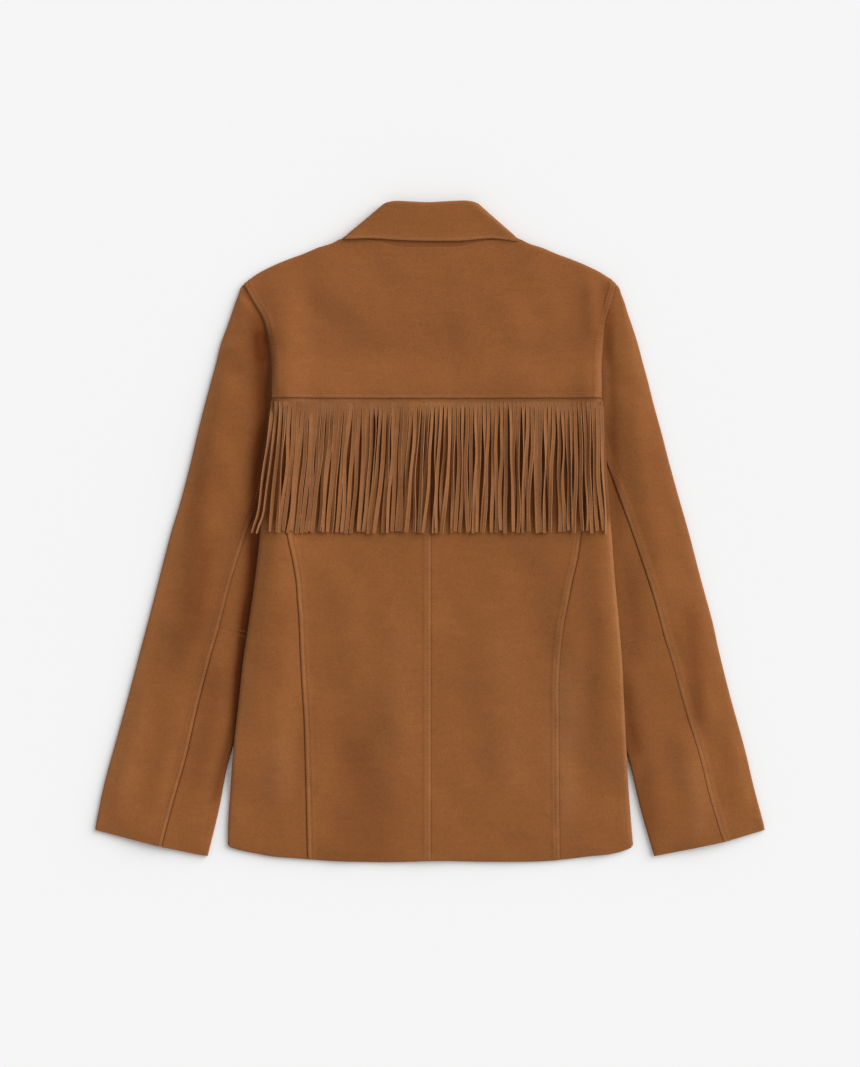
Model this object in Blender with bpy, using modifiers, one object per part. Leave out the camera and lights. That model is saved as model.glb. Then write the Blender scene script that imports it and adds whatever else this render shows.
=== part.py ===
"""A fringed buckskin jacket, laid flat on a table with its back up.

Every piece is a wall of suede, cut and placed as a maker would cut and sew it. A piece
starts as the open surface of its flesh side, a grid of points between its seams, and
Solidify thickens it outwards. +X is to the right as the back is seen, +Y is towards the
neck and +Z is up. The fronts lie on the table at z = 0, under the middle of the jacket.
"""

import math
from collections import namedtuple

import bmesh
import bpy
import numpy as np

MM = 0.001  # the tables below are in millimetres

# The suede and how it is sewn.
WALL = 1.8  # thickness of the suede, nap included
WELT = 0.6  # how far a stitched-down seam allowance lifts the suede above it
WELT_WIDTH = 6.2
WELT_STEP = 0.8  # the slope beside a welt
SEAM_GAP = 0.3  # between two pieces at a seam, and between two that lie on each other
HALF_GAP = SEAM_GAP / 2

# The flat-lying body.
BODY_THICK = 6.0  # from the outside of a front to the outside of the back
LIFT_OVER_SLEEVE = 6.0  # a side of the body lies on the inner edge of its sleeve
LIFT_FADE = 70.0
LIFT_MARGIN = 4.0
ARMHOLE_RISE = (198.0, 53.0)  # the body climbs on to the sleeve from this level, over this far
HEM_FALL = (-289.0, 53.0)  # and comes down again above the hem
ROLL_RADIUS = 0.8  # of the flesh side, where a panel turns down to a side seam
ROLL_CUT = 1.3  # where that turn's middle row lies on an edge that does not turn
SIDE_ROLL_END = (120.0, 30.0)  # below this level a side rolls to its seam
SHOULDER_ROLL_START = (96.5, 8.0)  # outside this place the top rolls to the shoulder seam

# The neck, where the front wings of the collar lie under the fronts.
NECK_CENTRE = (0.5, 309.0)
NECK_RADIUS = 104.0
NECK_FADE = 41.0
NECK_LIFT = WALL + SEAM_GAP

# The yoke, lapped over the fringe and the back panels.
YOKE_EDGE = 142.0
PANEL_LAP = 8.5
FRINGE_LAP = 6.0
LAP_FLAT = 9.5
LAP_FADE = 20.0
LAP_STATIONS = (0, LAP_FLAT, 16, 23, 30)

# The rows of points that neighbouring body pieces share, so that their seams stay parallel.
ARMHOLE_LEVELS = (142, 163, 184, 206, 225, 237, 250)
SHOULDER_COLUMNS = (178, 160, 142, 124, 108, 96, 92.5, 86)
SIDE_LEVELS = tuple(range(-322, 142, 30))
YOKE_COLUMNS = (70, 50, 25)  # between the neck's own columns and the middle
CENTRE_COLUMNS_LEFT, CENTRE_COLUMNS_RIGHT = 8, 9
SIDE_COLUMNS = 4
TOP_ROWS = 2  # between the highest level and the shoulder seam
SETTLE_ROUNDS = 6  # a panel's rows and columns depend on each other, and settle in this many

# The fringe.
STRANDS = 77
STRAND_WIDTH = 3.9
STRAND_THICK = 1.2
FRINGE_LEFT, FRINGE_RIGHT = -168.5, 183.4
TIP_LEFT, TIP_RIGHT = -189.0, 189.0
ROOT_Y, ROOT_SPREAD, ROOT_TURN = 131.0, 3.0, 1.7  # where the cuts end: each a bit higher or lower
TIP_Y, TIP_SPREAD, TIP_TURN, TIP_START = -1.5, 3.0, 2.39, 0.7  # and where the strands end
STRAND_BENDS = 3
STRAND_LEAN = 1.25  # a strand leans more towards its tip
# An extra gap at the tips after these strands, in millimetres: the fringe gathers in locks.
LOCK_GAPS = {
    8: 1.0,
    17: 1.4,
    25: 2.6,
    32: 1.8,
    36: 2.6,
    40: 2.6,
    49: 1.6,
    57: 1.2,
    64: 2.4,
    69: 2.4,
    74: 1.4,
}
FRINGE_RISE = WELT + SEAM_GAP  # of a strand's underside above the panel
LAP_SLACK = 0.2
LAP_RISE = WALL + FRINGE_RISE + STRAND_THICK + SEAM_GAP + LAP_SLACK

# The sleeves.
SLEEVE_EDGE_THICK = 5.0
SLEEVE_CROWN = 1.5  # how much thicker a sleeve is along its middle
CROWN_WIDTH = 60.0  # a narrower row of a sleeve is crowned less
FOLDS_CLEAR, FOLDS_FADE = 4.0, 12.0  # the soft folds of a sleeve stop short of the body
FRONT_SEAM_SHARE = 0.72  # where the hidden front seam runs, from outer to inner edge
ELBOW_ROW = 13
SLEEVE_TURNS = (90, 45, 0, -45, -90)  # degrees round a folded edge, top to bottom
SLEEVE_COLUMNS, HIDDEN_COLUMNS = 4, 2

# The fronts.
FRONT_LAP = 12.0
FRONT_STEP = 14.0
STEP_MARGIN = 2.0
STEP_STATIONS = (0, FRONT_LAP * 2, 31, 38)
FRONT_COLUMNS_OUTER = (76, 61)
FRONT_COLUMNS_LEFT, FRONT_COLUMNS_RIGHT = (-44,), (14, 34)

# The collar, a ring folded flat: centre height and the radii of its two walls.
COLLAR_MIDDLE = 5.1
FALL_RADIUS = 3.3
STAND_RADIUS = 1.2
FALL_SHARES = (0, 0.35, 0.7, 1)
STAND_SHARES = (0, 0.5, 1)

SUEDE = (0.258, 0.098, 0.032)

# The outline of the body from the shoulder tips, down the armholes and sides, to the hem.
Edge = namedtuple("Edge", "y left right")
EDGES = [
    Edge(262, -197.5, 197.5),
    Edge(251, -191, 194.5),
    Edge(243, -186, 192),
    Edge(234, -180, 189),
    Edge(225, -175, 186.5),
    Edge(214, -172, 184),
    Edge(198, -169, 182.5),
    Edge(182, -167, 181),
    Edge(156, -166, 180.3),
    Edge(142, -166, 180),
    Edge(108, -169, 186),
    Edge(66, -173, 187.5),
    Edge(34, -176, 189.5),
    Edge(-3, -180, 192.5),
    Edge(-51, -185.5, 196),
    Edge(-93, -191.5, 200),
    Edge(-136, -198, 203.5),
    Edge(-178, -202.5, 205.5),
    Edge(-226, -208, 208),
    Edge(-273, -212, 211),
    Edge(-311, -214.5, 214),
    Edge(-334, -215, 216),
]

# Upper outlines: the shoulders, and between them the neck seam of the back and the fronts.
Rim = namedtuple("Rim", "x back front")
TOP = [
    Rim(-197.5, 262, 262),
    Rim(-184, 273, 273),
    Rim(-169, 282, 282),
    Rim(-149, 290, 290),
    Rim(-135, 295, 295),
    Rim(-116, 303, 303),
    Rim(-96, 309.5, 309.5),
    Rim(-92.5, 305.5, 305.5),
    Rim(-86, 303, 303.5),
    Rim(-76, 302, 299.5),
    Rim(-61, 302, 280),
    Rim(-34, 302, 262),
    Rim(-14, 302, 254),
    Rim(14, 302, 254),
    Rim(34, 302, 262),
    Rim(61, 302, 280),
    Rim(76, 302, 299.5),
    Rim(86, 303, 303.5),
    Rim(92.5, 305.5, 305.5),
    Rim(96, 309.5, 309.5),
    Rim(116, 303, 303),
    Rim(135, 295, 295),
    Rim(149, 290, 290),
    Rim(169, 282, 282),
    Rim(184, 273, 273),
    Rim(197.5, 262, 262),
]

Hem = namedtuple("Hem", "x y")
HEM = [
    Hem(-215, -334),
    Hem(-201, -338),
    Hem(-186, -341),
    Hem(-170, -344),
    Hem(-148, -346),
    Hem(-95, -349.5),
    Hem(-21, -350),
    Hem(0, -349.3),
    Hem(64, -350),
    Hem(127, -349),
    Hem(148, -347),
    Hem(170, -344),
    Hem(191, -342),
    Hem(207, -338),
    Hem(216, -334),
]
FRONT_HEM_SET_BACK = 1.5  # the fronts stop just short of the back's hem

# The shaped seams between the side and centre panels of the back.
Seam = namedtuple("Seam", "y left right")
SHAPED_SEAMS = [
    Seam(151, -158, 172),
    Seam(98, -157, 170),
    Seam(45, -155, 165),
    Seam(-3, -151.5, 160),
    Seam(-30, -146, 156),
    Seam(-51, -142.5, 151),
    Seam(-72, -141, 147),
    Seam(-93, -139.3, 143),
    Seam(-125, -138, 139),
    Seam(-157, -136.5, 137),
    Seam(-199, -133.5, 137),
    Seam(-247, -132, 137),
    Seam(-350, -130, 138),
]
CENTRE_SEAM = 1.0

# Across each sleeve from its outer edge to its back seam and its inner edge. The rows of
# the cap end at the armhole, one at each of its levels, and so need only their outer edge.
Cap = namedtuple("Cap", "outer seam_thick")
Cut = namedtuple("Cut", "outer seam inner")
SLEEVES = {
    "left": [
        Cap((-199, 260), 6.0),
        Cap((-204, 249), 6.0),
        Cap((-209, 237), 6.0),
        Cap((-215, 219), 6.0),
        Cap((-222, 200), 5.8),
        Cap((-227, 180), 5.4),
        Cap((-233, 158), 5.0),
        Cut((-240, 132), (-164, 113), (-119, 105)),
        Cut((-247, 104), (-170, 82), (-125, 76)),
        Cut((-255, 70), (-178, 45), (-134, 42)),
        Cut((-265, 32), (-193, 5), (-144, 4)),
        Cut((-275, -1), (-205, -24), (-153, -29)),
        Cut((-286, -43), (-216, -59), (-165, -71)),
        Cut((-297, -86), (-224, -102), (-176, -113)),
        Cut((-306, -120), (-234, -132), (-187, -147)),
        Cut((-320, -173), (-247, -187), (-201, -199)),
        Cut((-334, -224), (-259, -240), (-215, -248)),
        Cut((-346, -268), (-272, -285), (-224, -294)),
        Cut((-356, -316), (-285, -334), (-236, -344)),
    ],
    "right": [
        Cap((199, 260), 6.0),
        Cap((204, 249), 6.0),
        Cap((209, 236), 6.0),
        Cap((215, 218), 6.0),
        Cap((221, 199), 5.8),
        Cap((226, 180), 5.4),
        Cap((232, 158), 5.0),
        Cut((238, 134), (177, 113), (118, 105)),
        Cut((246, 105), (182, 88), (125, 76)),
        Cut((255, 70), (194, 55), (134, 41)),
        Cut((265, 34), (207, 20), (144, 5)),
        Cut((275, -1), (219, -14), (154, -30)),
        Cut((288, -51), (235, -63), (169, -80)),
        Cut((300, -95), (248, -109), (181, -126)),
        Cut((307, -127), (258, -139), (190, -157)),
        Cut((319, -175), (268, -187), (200, -204)),
        Cut((334, -229), (284, -240), (213, -250)),
        Cut((344, -271), (296, -281), (224, -296)),
        Cut((356, -316), (311, -329), (238, -344)),
    ],
}

# Half of the collar, from the centre front round the side to the centre back: its fold,
# its free edge and its neck edge. Level -1 lies under the fronts, +1 on the back.
Band = namedtuple("Band", "level fold free neck")
COLLAR = [
    Band(-1, (-4, 272), (-37, 219), (-4, 255.5)),
    Band(-1, (-19, 294), (-61, 241), (-34, 264)),
    Band(-1, (-36, 325), (-85, 272), (-61, 282)),
    Band(0, (-41.8, 345), (-90.8, 306), (-83.5, 311.8)),
    Band(1, (-32, 350), (-62, 307), (-70, 302.3)),
    Band(1, (-16, 350), (-30, 306), (-35, 302.3)),
    Band(1, (0, 350), (0, 306), (0, 302.3)),
]
COLLAR_TURNS = (-90, -45, 0, 45, 90)  # degrees round the side fold of the collar

# The largest soft folds of the back: a ridge from (x0, y0) to (x1, y1).
Ridge = namedtuple("Ridge", "x0 y0 x1 y1 width height")
RIDGE_ENDS = 3  # a ridge grows and fades over a third of its length
RIDGES = [
    Ridge(172, 268, 174, 205, 9, 0.9),
    Ridge(-120, 262, -70, 232, 16, 0.5),
    Ridge(142, -200, 138, -345, 11, 1.0),
    Ridge(186, 90, 196, -170, 9, 0.8),
    Ridge(-168, -120, -162, -320, 12, 0.9),
    Ridge(-30, -60, -26, -330, 22, 0.7),
    Ridge(70, -30, 84, -320, 20, 0.6),
    Ridge(-100, -30, -74, -190, 18, 0.7),
]
SLEEVE_RIDGES = [
    Ridge(232, 120, 250, -80, 12, 0.9),
    Ridge(-226, 70, -236, -90, 14, 0.9),
    Ridge(278, -190, 294, -320, 12, 0.8),
    Ridge(-300, -130, -330, -300, 12, 0.8),
    Ridge(-215, 190, -240, 60, 12, 0.6),
]


def smooth(share):
    """A soft step from 0 to 1."""
    t = np.clip(share, 0.0, 1.0)
    return t * t * (3 - 2 * t)


def column(table, at, field):
    """A named column of a table as a function of its first one, `at`."""
    rows = sorted(table, key=lambda row: getattr(row, at))
    places = [getattr(row, at) for row in rows]
    values = [getattr(row, field) for row in rows]
    return lambda place: np.interp(place, places, values)


left_edge = column(EDGES, "y", "left")
right_edge = column(EDGES, "y", "right")
back_top = column(TOP, "x", "back")
front_top = column(TOP, "x", "front")
hem_line = column(HEM, "x", "y")
left_seam = column(SHAPED_SEAMS, "y", "left")
right_seam = column(SHAPED_SEAMS, "y", "right")


def inner_edge(side):
    """The hidden inner edge of a sleeve, x as a function of y."""
    points = sorted((cut.inner[1], cut.inner[0]) for cut in SLEEVES[side] if isinstance(cut, Cut))
    return lambda y: np.interp(y, [p[0] for p in points], [p[1] for p in points])


sleeve_inner_left = inner_edge("left")
sleeve_inner_right = inner_edge("right")


def ridge_height(ridges, x, y):
    """How far the soft folds lift the suede at a point."""
    total = 0.0
    for fold in ridges:
        length = math.hypot(fold.x1 - fold.x0, fold.y1 - fold.y0)
        ux = (fold.x1 - fold.x0) / length
        uy = (fold.y1 - fold.y0) / length
        run = ((x - fold.x0) * ux + (y - fold.y0) * uy) / length
        aside = (x - fold.x0) * uy - (y - fold.y0) * ux
        ends = smooth(run * RIDGE_ENDS) * smooth((1 - run) * RIDGE_ENDS)
        total = total + fold.height * ends * np.exp(-((aside / fold.width) ** 2))
    return total


def lift(x, y):
    """Height of the body's underside: over the sleeves' inner edges and the collar's wings."""
    strength = smooth((ARMHOLE_RISE[0] - y) / ARMHOLE_RISE[1]) * smooth((y - HEM_FALL[0]) / HEM_FALL[1])
    left = 1 - smooth((x - sleeve_inner_left(y) - LIFT_MARGIN) / LIFT_FADE)
    right = 1 - smooth((sleeve_inner_right(y) - LIFT_MARGIN - x) / LIFT_FADE)
    neck_distance = np.hypot(x - NECK_CENTRE[0], y - NECK_CENTRE[1])
    neck = NECK_LIFT * (1 - smooth((neck_distance - NECK_RADIUS) / NECK_FADE))
    return LIFT_OVER_SLEEVE * strength * np.maximum(left, right) + neck


def back_flesh(x, y):
    """Height of the flesh side of the back."""
    return lift(x, y) + BODY_THICK - WALL + ridge_height(RIDGES, x, y)


def yoke_flesh(x, y):
    """The yoke rises over the fringe and the panels at its lower edge."""
    return back_flesh(x, y) + LAP_RISE * (1 - smooth((y - YOKE_EDGE - LAP_FLAT) / LAP_FADE))


def front_flesh(x, y):
    """Height of the flesh side of a front, which faces up."""
    return lift(x, y) + WALL


def lapped_front_flesh(x, y):
    """The left front rises over the edge of the right one."""
    start = -FRONT_LAP - STEP_MARGIN - FRONT_STEP
    return front_flesh(x, y) + (WALL + SEAM_GAP) * smooth((x - start) / FRONT_STEP)


# A border is a list of stations: inset from the outline where the edge rolls to a seam,
# how far it drops there, inset where the edge is cut flat instead, and its welt.
Station = namedtuple("Station", "rolled drop cut welt")
ROLLED = [
    Station(WALL, BODY_THICK / 2 - WALL - HALF_GAP, HALF_GAP, 0),
    Station(WALL, ROLL_RADIUS, ROLL_CUT, 0),
    Station(WALL + ROLL_RADIUS, 0, WALL + ROLL_RADIUS, 0),
]
BUTTED = [Station(HALF_GAP, 0, HALF_GAP, 0)]
CUT_EDGE = [Station(0, 0, 0, 0)]
WELTED = [
    Station(HALF_GAP, 0, HALF_GAP, 1),
    Station(WELT_WIDTH, 0, WELT_WIDTH, 1),
    Station(WELT_WIDTH + WELT_STEP, 0, WELT_WIDTH + WELT_STEP, 0),
]
LAPPED = [Station(inset, 0, inset, 0) for inset in LAP_STATIONS]


def between(low, high, first, middle, last, roll_first, roll_last):
    """Places from low to high: the first border, the middle, the last border."""
    starts = [low + s.rolled * roll_first + s.cut * (1 - roll_first) for s in first]
    stops = [high - s.rolled * roll_last - s.cut * (1 - roll_last) for s in last]
    return np.array(starts + middle(starts[-1], stops[-1]) + stops[::-1])


def even(count):
    """Stations spread evenly inside a span."""
    shares = [(i + 1) / (count + 1) for i in range(count)]
    return lambda start, stop: [start + (stop - start) * share for share in shares]


def in_proportion(targets, low, high):
    """Stations that lie at these places when the span is as wide as it gets."""
    shares = [(target - low) / (high - low) for target in targets]
    return lambda start, stop: [start + (stop - start) * share for share in shares]


def at_levels(levels, spare=0):
    """Stations at fixed levels, then a few spread evenly up to the end of the span."""
    rest = even(spare)
    return lambda start, stop: [*levels, *rest(levels[-1], stop)]


def side_roll(y):
    """1 where the side of the body rolls to the side seam, 0 along the armhole."""
    return float(1 - smooth((y - SIDE_ROLL_END[0]) / SIDE_ROLL_END[1]))


def shoulder_roll(x):
    """1 where the top of the body rolls to the shoulder seam, 0 at the neck."""
    return float(smooth((abs(x) - SHOULDER_ROLL_START[0]) / SHOULDER_ROLL_START[1]))


def never(_):
    return 0.0


def panel(left, right, bottom, top, borders, across, along, flesh, drop_sign=1, rolls=(never,) * 3):
    """Grid of a body panel: plan from its four outlines, height from its flesh surface.

    borders holds the stations at left, right, bottom and top, and rolls says how far the
    left, right and top ones roll. drop_sign is -1 for a front, whose edges roll up.
    """
    columns = len(borders[0]) + len(across(0, 1)) + len(borders[1])
    rows = len(borders[2]) + len(along(0, 1)) + len(borders[3])
    x = np.zeros((rows, columns))
    y = np.zeros((rows, columns))
    y[:] = np.linspace(bottom(0), top(0), rows)[:, None]
    for _ in range(SETTLE_ROUNDS):
        for i in range(rows):
            low, high = y[i, 0], y[i, -1]
            x[i] = between(
                left(low), right(high), borders[0], across, borders[1], rolls[0](low), rolls[1](high)
            )
        for j in range(columns):
            y[:, j] = between(
                bottom(x[0, j]), top(x[-1, j]), borders[2], along, borders[3], 0, rolls[2](x[-1, j])
            )
    z = flesh(x, y)
    welt = np.zeros((rows, columns))
    for i in range(rows):
        for k, station in enumerate(borders[0]):
            z[i, k] -= drop_sign * station.drop * rolls[0](y[i, 0])
            welt[i, k] = max(welt[i, k], station.welt)
        for k, station in enumerate(borders[1]):
            z[i, -1 - k] -= drop_sign * station.drop * rolls[1](y[i, -1])
            welt[i, -1 - k] = max(welt[i, -1 - k], station.welt)
    for j in range(columns):
        for k, station in enumerate(borders[3]):
            z[-1 - k, j] -= drop_sign * station.drop * rolls[2](x[-1, j])
    return np.stack([x, y, z], axis=2), welt


def suede(name, tone=1.0):
    """Suede of the piece's own tone."""
    material = bpy.data.materials.new(name)
    material.use_nodes = True
    shader = material.node_tree.nodes["Principled BSDF"]
    shader.inputs["Base Color"].default_value = (*(c * tone for c in SUEDE), 1)
    shader.inputs["Roughness"].default_value = 0.95
    shader.inputs["Metallic"].default_value = 0.0
    return material


def thicken(name, mesh_data, welts, thick, collection, tone):
    """The open surface as an object, thickened outwards, and more where a welt lies."""
    mesh = bpy.data.meshes.new(name)
    mesh_data.to_mesh(mesh)
    mesh_data.free()
    mesh.materials.append(suede(name, tone))
    piece = bpy.data.objects.new(name, mesh)
    collection.objects.link(piece)
    wall = piece.modifiers.new("wall", "SOLIDIFY")
    wall.offset = 1
    wall.use_even_offset = True
    wall.use_quality_normals = True
    wall.thickness = thick * MM
    if welts:
        group = piece.vertex_groups.new(name="welt")
        group.add(welts, 1.0, "REPLACE")
        wall.thickness = (thick + WELT) * MM
        wall.vertex_group = "welt"
        wall.thickness_vertex_group = thick / (thick + WELT)
    return piece


def loft(name, grid, collection, welt=None, flip=False, tone=1.0):
    """A wall lofted through the rows of a grid of points."""
    mesh_data = bmesh.new()
    rows, columns = grid.shape[:2]
    made = [[mesh_data.verts.new(grid[i, j] * MM) for j in range(columns)] for i in range(rows)]
    for i in range(rows - 1):
        for j in range(columns - 1):
            corners = [made[i][j], made[i][j + 1], made[i + 1][j + 1], made[i + 1][j]]
            mesh_data.faces.new(corners[::-1] if flip else corners)
    mesh_data.verts.index_update()
    welts = [] if welt is None else [int(k) for k in np.flatnonzero(welt.ravel())]
    return thicken(name, mesh_data, welts, WALL, collection, tone)


def make_back(collection):
    """The yoke, the two centre panels and the two side panels."""
    half = [*SHOULDER_COLUMNS, *YOKE_COLUMNS]
    targets = [-place for place in half] + [0] + half[::-1]
    margin = WELT_WIDTH + WELT_STEP
    grid, welt = panel(
        left_edge,
        right_edge,
        lambda x: YOKE_EDGE,
        back_top,
        (WELTED, WELTED, LAPPED, ROLLED),
        in_proportion(targets, EDGES[0].left + margin, EDGES[0].right - margin),
        at_levels(ARMHOLE_LEVELS[2:], TOP_ROWS),
        yoke_flesh,
        rolls=(never, never, shoulder_roll),
    )
    loft("back_yoke", grid, collection, welt, tone=1.0)

    def panel_top(x):
        return YOKE_EDGE + PANEL_LAP

    def centre(y):
        return CENTRE_SEAM

    rows = at_levels(SIDE_LEVELS)
    borders = (WELTED, WELTED, CUT_EDGE, CUT_EDGE)
    columns = even(CENTRE_COLUMNS_LEFT)
    grid, welt = panel(left_seam, centre, hem_line, panel_top, borders, columns, rows, back_flesh)
    loft("back_centre_left", grid, collection, welt, tone=0.97)
    borders = (BUTTED, WELTED, CUT_EDGE, CUT_EDGE)
    columns = even(CENTRE_COLUMNS_RIGHT)
    grid, welt = panel(centre, right_seam, hem_line, panel_top, borders, columns, rows, back_flesh)
    loft("back_centre_right", grid, collection, welt, tone=1.0)
    grid, _ = panel(
        left_edge,
        left_seam,
        hem_line,
        panel_top,
        (ROLLED, BUTTED, CUT_EDGE, CUT_EDGE),
        even(SIDE_COLUMNS),
        rows,
        back_flesh,
        rolls=(side_roll, never, never),
    )
    loft("back_side_left", grid, collection, tone=1.03)
    grid, _ = panel(
        right_seam,
        right_edge,
        hem_line,
        panel_top,
        (BUTTED, ROLLED, CUT_EDGE, CUT_EDGE),
        even(SIDE_COLUMNS),
        rows,
        back_flesh,
        rolls=(never, side_roll, never),
    )
    loft("back_side_right", grid, collection, tone=1.05)


def make_fronts(collection):
    """The two fronts, flesh side up, lapped at the centre front."""
    outer = [*SHOULDER_COLUMNS, *FRONT_COLUMNS_OUTER]
    rolled = WALL + ROLL_RADIUS
    step = [Station(inset, 0, inset, 0) for inset in STEP_STATIONS]
    left_columns = [-place for place in outer] + list(FRONT_COLUMNS_LEFT)
    right_columns = [*FRONT_COLUMNS_RIGHT, *outer[::-1]]
    rows = at_levels(SIDE_LEVELS + ARMHOLE_LEVELS, TOP_ROWS)

    def front_hem(x):
        return hem_line(x) + FRONT_HEM_SET_BACK

    grid, _ = panel(
        left_edge,
        lambda y: FRONT_LAP,
        front_hem,
        front_top,
        (ROLLED, step, CUT_EDGE, ROLLED),
        in_proportion(left_columns, EDGES[0].left + rolled, FRONT_LAP - step[-1].cut),
        rows,
        lapped_front_flesh,
        drop_sign=-1,
        rolls=(side_roll, never, shoulder_roll),
    )
    loft("front_left", grid, collection, flip=True, tone=0.95)
    grid, _ = panel(
        lambda y: -FRONT_LAP,
        right_edge,
        front_hem,
        front_top,
        (CUT_EDGE, ROLLED, CUT_EDGE, ROLLED),
        in_proportion(right_columns, -FRONT_LAP, EDGES[0].right - rolled),
        rows,
        front_flesh,
        drop_sign=-1,
        rolls=(never, side_roll, shoulder_roll),
    )
    loft("front_right", grid, collection, flip=True, tone=0.95)


class Section:
    """One section across a flat-lying sleeve, from its outer edge inwards."""

    def __init__(self, side, number):
        cut = SLEEVES[side][number]
        self.edge = left_edge if side == "left" else right_edge
        self.outer = np.array(cut.outer, float)
        self.cap = isinstance(cut, Cap)
        if self.cap:
            level = ARMHOLE_LEVELS[::-1][number]
            gap = math.copysign(SEAM_GAP, self.outer[0])
            self.seam = np.array([float(self.edge(level)) + gap, level])
            far = self.seam
        else:
            self.seam = np.array(cut.seam, float)
            far = np.array(cut.inner, float)
        self.width = float(np.linalg.norm(far - self.outer))
        self.run = (far - self.outer) / self.width
        self.seam_at = float(np.dot(self.seam - self.outer, self.run))
        self.bend = self.seam - (self.outer + self.run * self.seam_at)
        self.seam_thick = cut.seam_thick if self.cap else SLEEVE_EDGE_THICK
        self.shown = self.width
        if not self.cap:
            self.shown = min(self.width, abs(float(self.edge(self.outer[1])) - self.outer[0]))

    def place(self, inset, height):
        """The point at this distance from the outer edge: the row bends at the back seam."""
        share = inset / self.seam_at
        if inset > self.seam_at:
            share = (self.width - inset) / (self.width - self.seam_at)
        spot = self.outer + self.run * inset + self.bend * max(share, 0)
        return [spot[0], spot[1], height]

    def upper(self, inset):
        """The flesh side of the upper layer, crowned where the sleeve shows."""
        spot = self.place(inset, 0)
        share = np.clip(inset / self.shown, 0, 1)
        crown = SLEEVE_CROWN * math.sin(math.pi * share) * smooth(self.width / CROWN_WIDTH)
        thick = SLEEVE_EDGE_THICK + (self.seam_thick - SLEEVE_EDGE_THICK) * smooth(share)
        clear = smooth((abs(spot[0]) - abs(float(self.edge(spot[1]))) - FOLDS_CLEAR) / FOLDS_FADE)
        spot[2] = thick + crown - WALL + ridge_height(SLEEVE_RIDGES, spot[0], spot[1]) * clear
        return spot

    def fold(self, at, sign):
        """The flesh side round a folded edge, top to bottom."""
        radius = SLEEVE_EDGE_THICK / 2 - WALL
        turns = [math.radians(angle) for angle in SLEEVE_TURNS]
        middle = SLEEVE_EDGE_THICK / 2
        spots = [(at + sign * radius * math.cos(turn), middle + radius * math.sin(turn)) for turn in turns]
        return [self.place(inset, height) for inset, height in spots]


def make_sleeve(side, collection):
    """Top sleeve over the outer fold, and under sleeve over the inner fold, in two pieces."""
    fold = SLEEVE_EDGE_THICK / 2
    across, hidden = even(SLEEVE_COLUMNS), even(HIDDEN_COLUMNS)
    top_rows, under_rows = [], []
    for number in range(len(SLEEVES[side])):
        section = Section(side, number)
        gap = 0 if section.cap else HALF_GAP
        front = section.seam_at if section.cap else section.width * FRONT_SEAM_SHARE
        start = section.seam_at - gap
        welt = min(WELT_WIDTH, section.seam_at / 2)
        plain = start - welt - WELT_STEP
        row = [section.upper(inset) for inset in (start, start - welt, plain, *across(plain, fold))]
        row += section.fold(fold, -1)
        row += [section.place(inset, WALL) for inset in (*hidden(fold, front - gap), front - gap)]
        top_rows.append(row)
        if not section.cap:
            first = section.seam_at + HALF_GAP
            last = section.width - fold
            row = [section.upper(inset) for inset in (first, *across(first, last))]
            row += section.fold(last, 1)
            row.append(section.place(front + HALF_GAP, WALL))
            under_rows.append(row)
    welt = np.zeros((len(top_rows), len(top_rows[0])))
    welt[:, :2] = 1
    is_left = side == "left"
    loft(f"sleeve_top_{side}", np.array(top_rows, float), collection, welt, flip=not is_left, tone=1.02)
    under = np.array(under_rows, float)
    elbow = ELBOW_ROW - (len(top_rows) - len(under_rows))
    step = under[elbow + 1] - under[elbow]
    step *= HALF_GAP / np.linalg.norm(step, axis=1)[:, None]
    upper_end = under[: elbow + 1].copy()
    upper_end[-1] -= step
    lower_start = under[elbow:].copy()
    lower_start[0] += step
    loft(f"sleeve_under_upper_{side}", upper_end, collection, flip=is_left, tone=0.98)
    loft(f"sleeve_under_lower_{side}", lower_start, collection, flip=is_left, tone=1.0)


def collar_rows(edge, radius, breaks):
    """Grid of one wall of the collar, from its neck or free edge to its fold."""
    half = []
    for band in COLLAR:
        low = np.array(getattr(band, edge), float)
        fold = np.array(band.fold, float)
        if band.level:
            height = COLLAR_MIDDLE + band.level * radius
            half.append([[*(low + (fold - low) * share), height] for share in breaks])
            continue
        run = (fold - low) / np.linalg.norm(fold - low)
        outward = np.array([-run[1], run[0]])
        for turn in COLLAR_TURNS:
            a = math.radians(turn)
            reach = outward * radius * math.cos(a)
            height = COLLAR_MIDDLE + radius * math.sin(a)
            half.append([[*(low + (fold - low) * share + reach), height] for share in breaks])
    half = np.array(half, float)
    mirrored = half[-2::-1].copy()
    mirrored[:, :, 0] *= -1
    return np.concatenate([half, mirrored])


def make_collar(collection):
    """The fall and, inside it, the stand."""
    fall = collar_rows("free", FALL_RADIUS, FALL_SHARES)
    stand = collar_rows("neck", STAND_RADIUS, STAND_SHARES)
    loft("collar_fall", fall, collection, flip=True, tone=1.02)
    loft("collar_stand", stand, collection, flip=True, tone=0.95)


def fringe_height(x, y):
    """Underside of the strip and the strands."""
    inside = np.clip(x, left_edge(y), right_edge(y))
    return back_flesh(inside, y) + WALL + FRINGE_RISE


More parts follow.
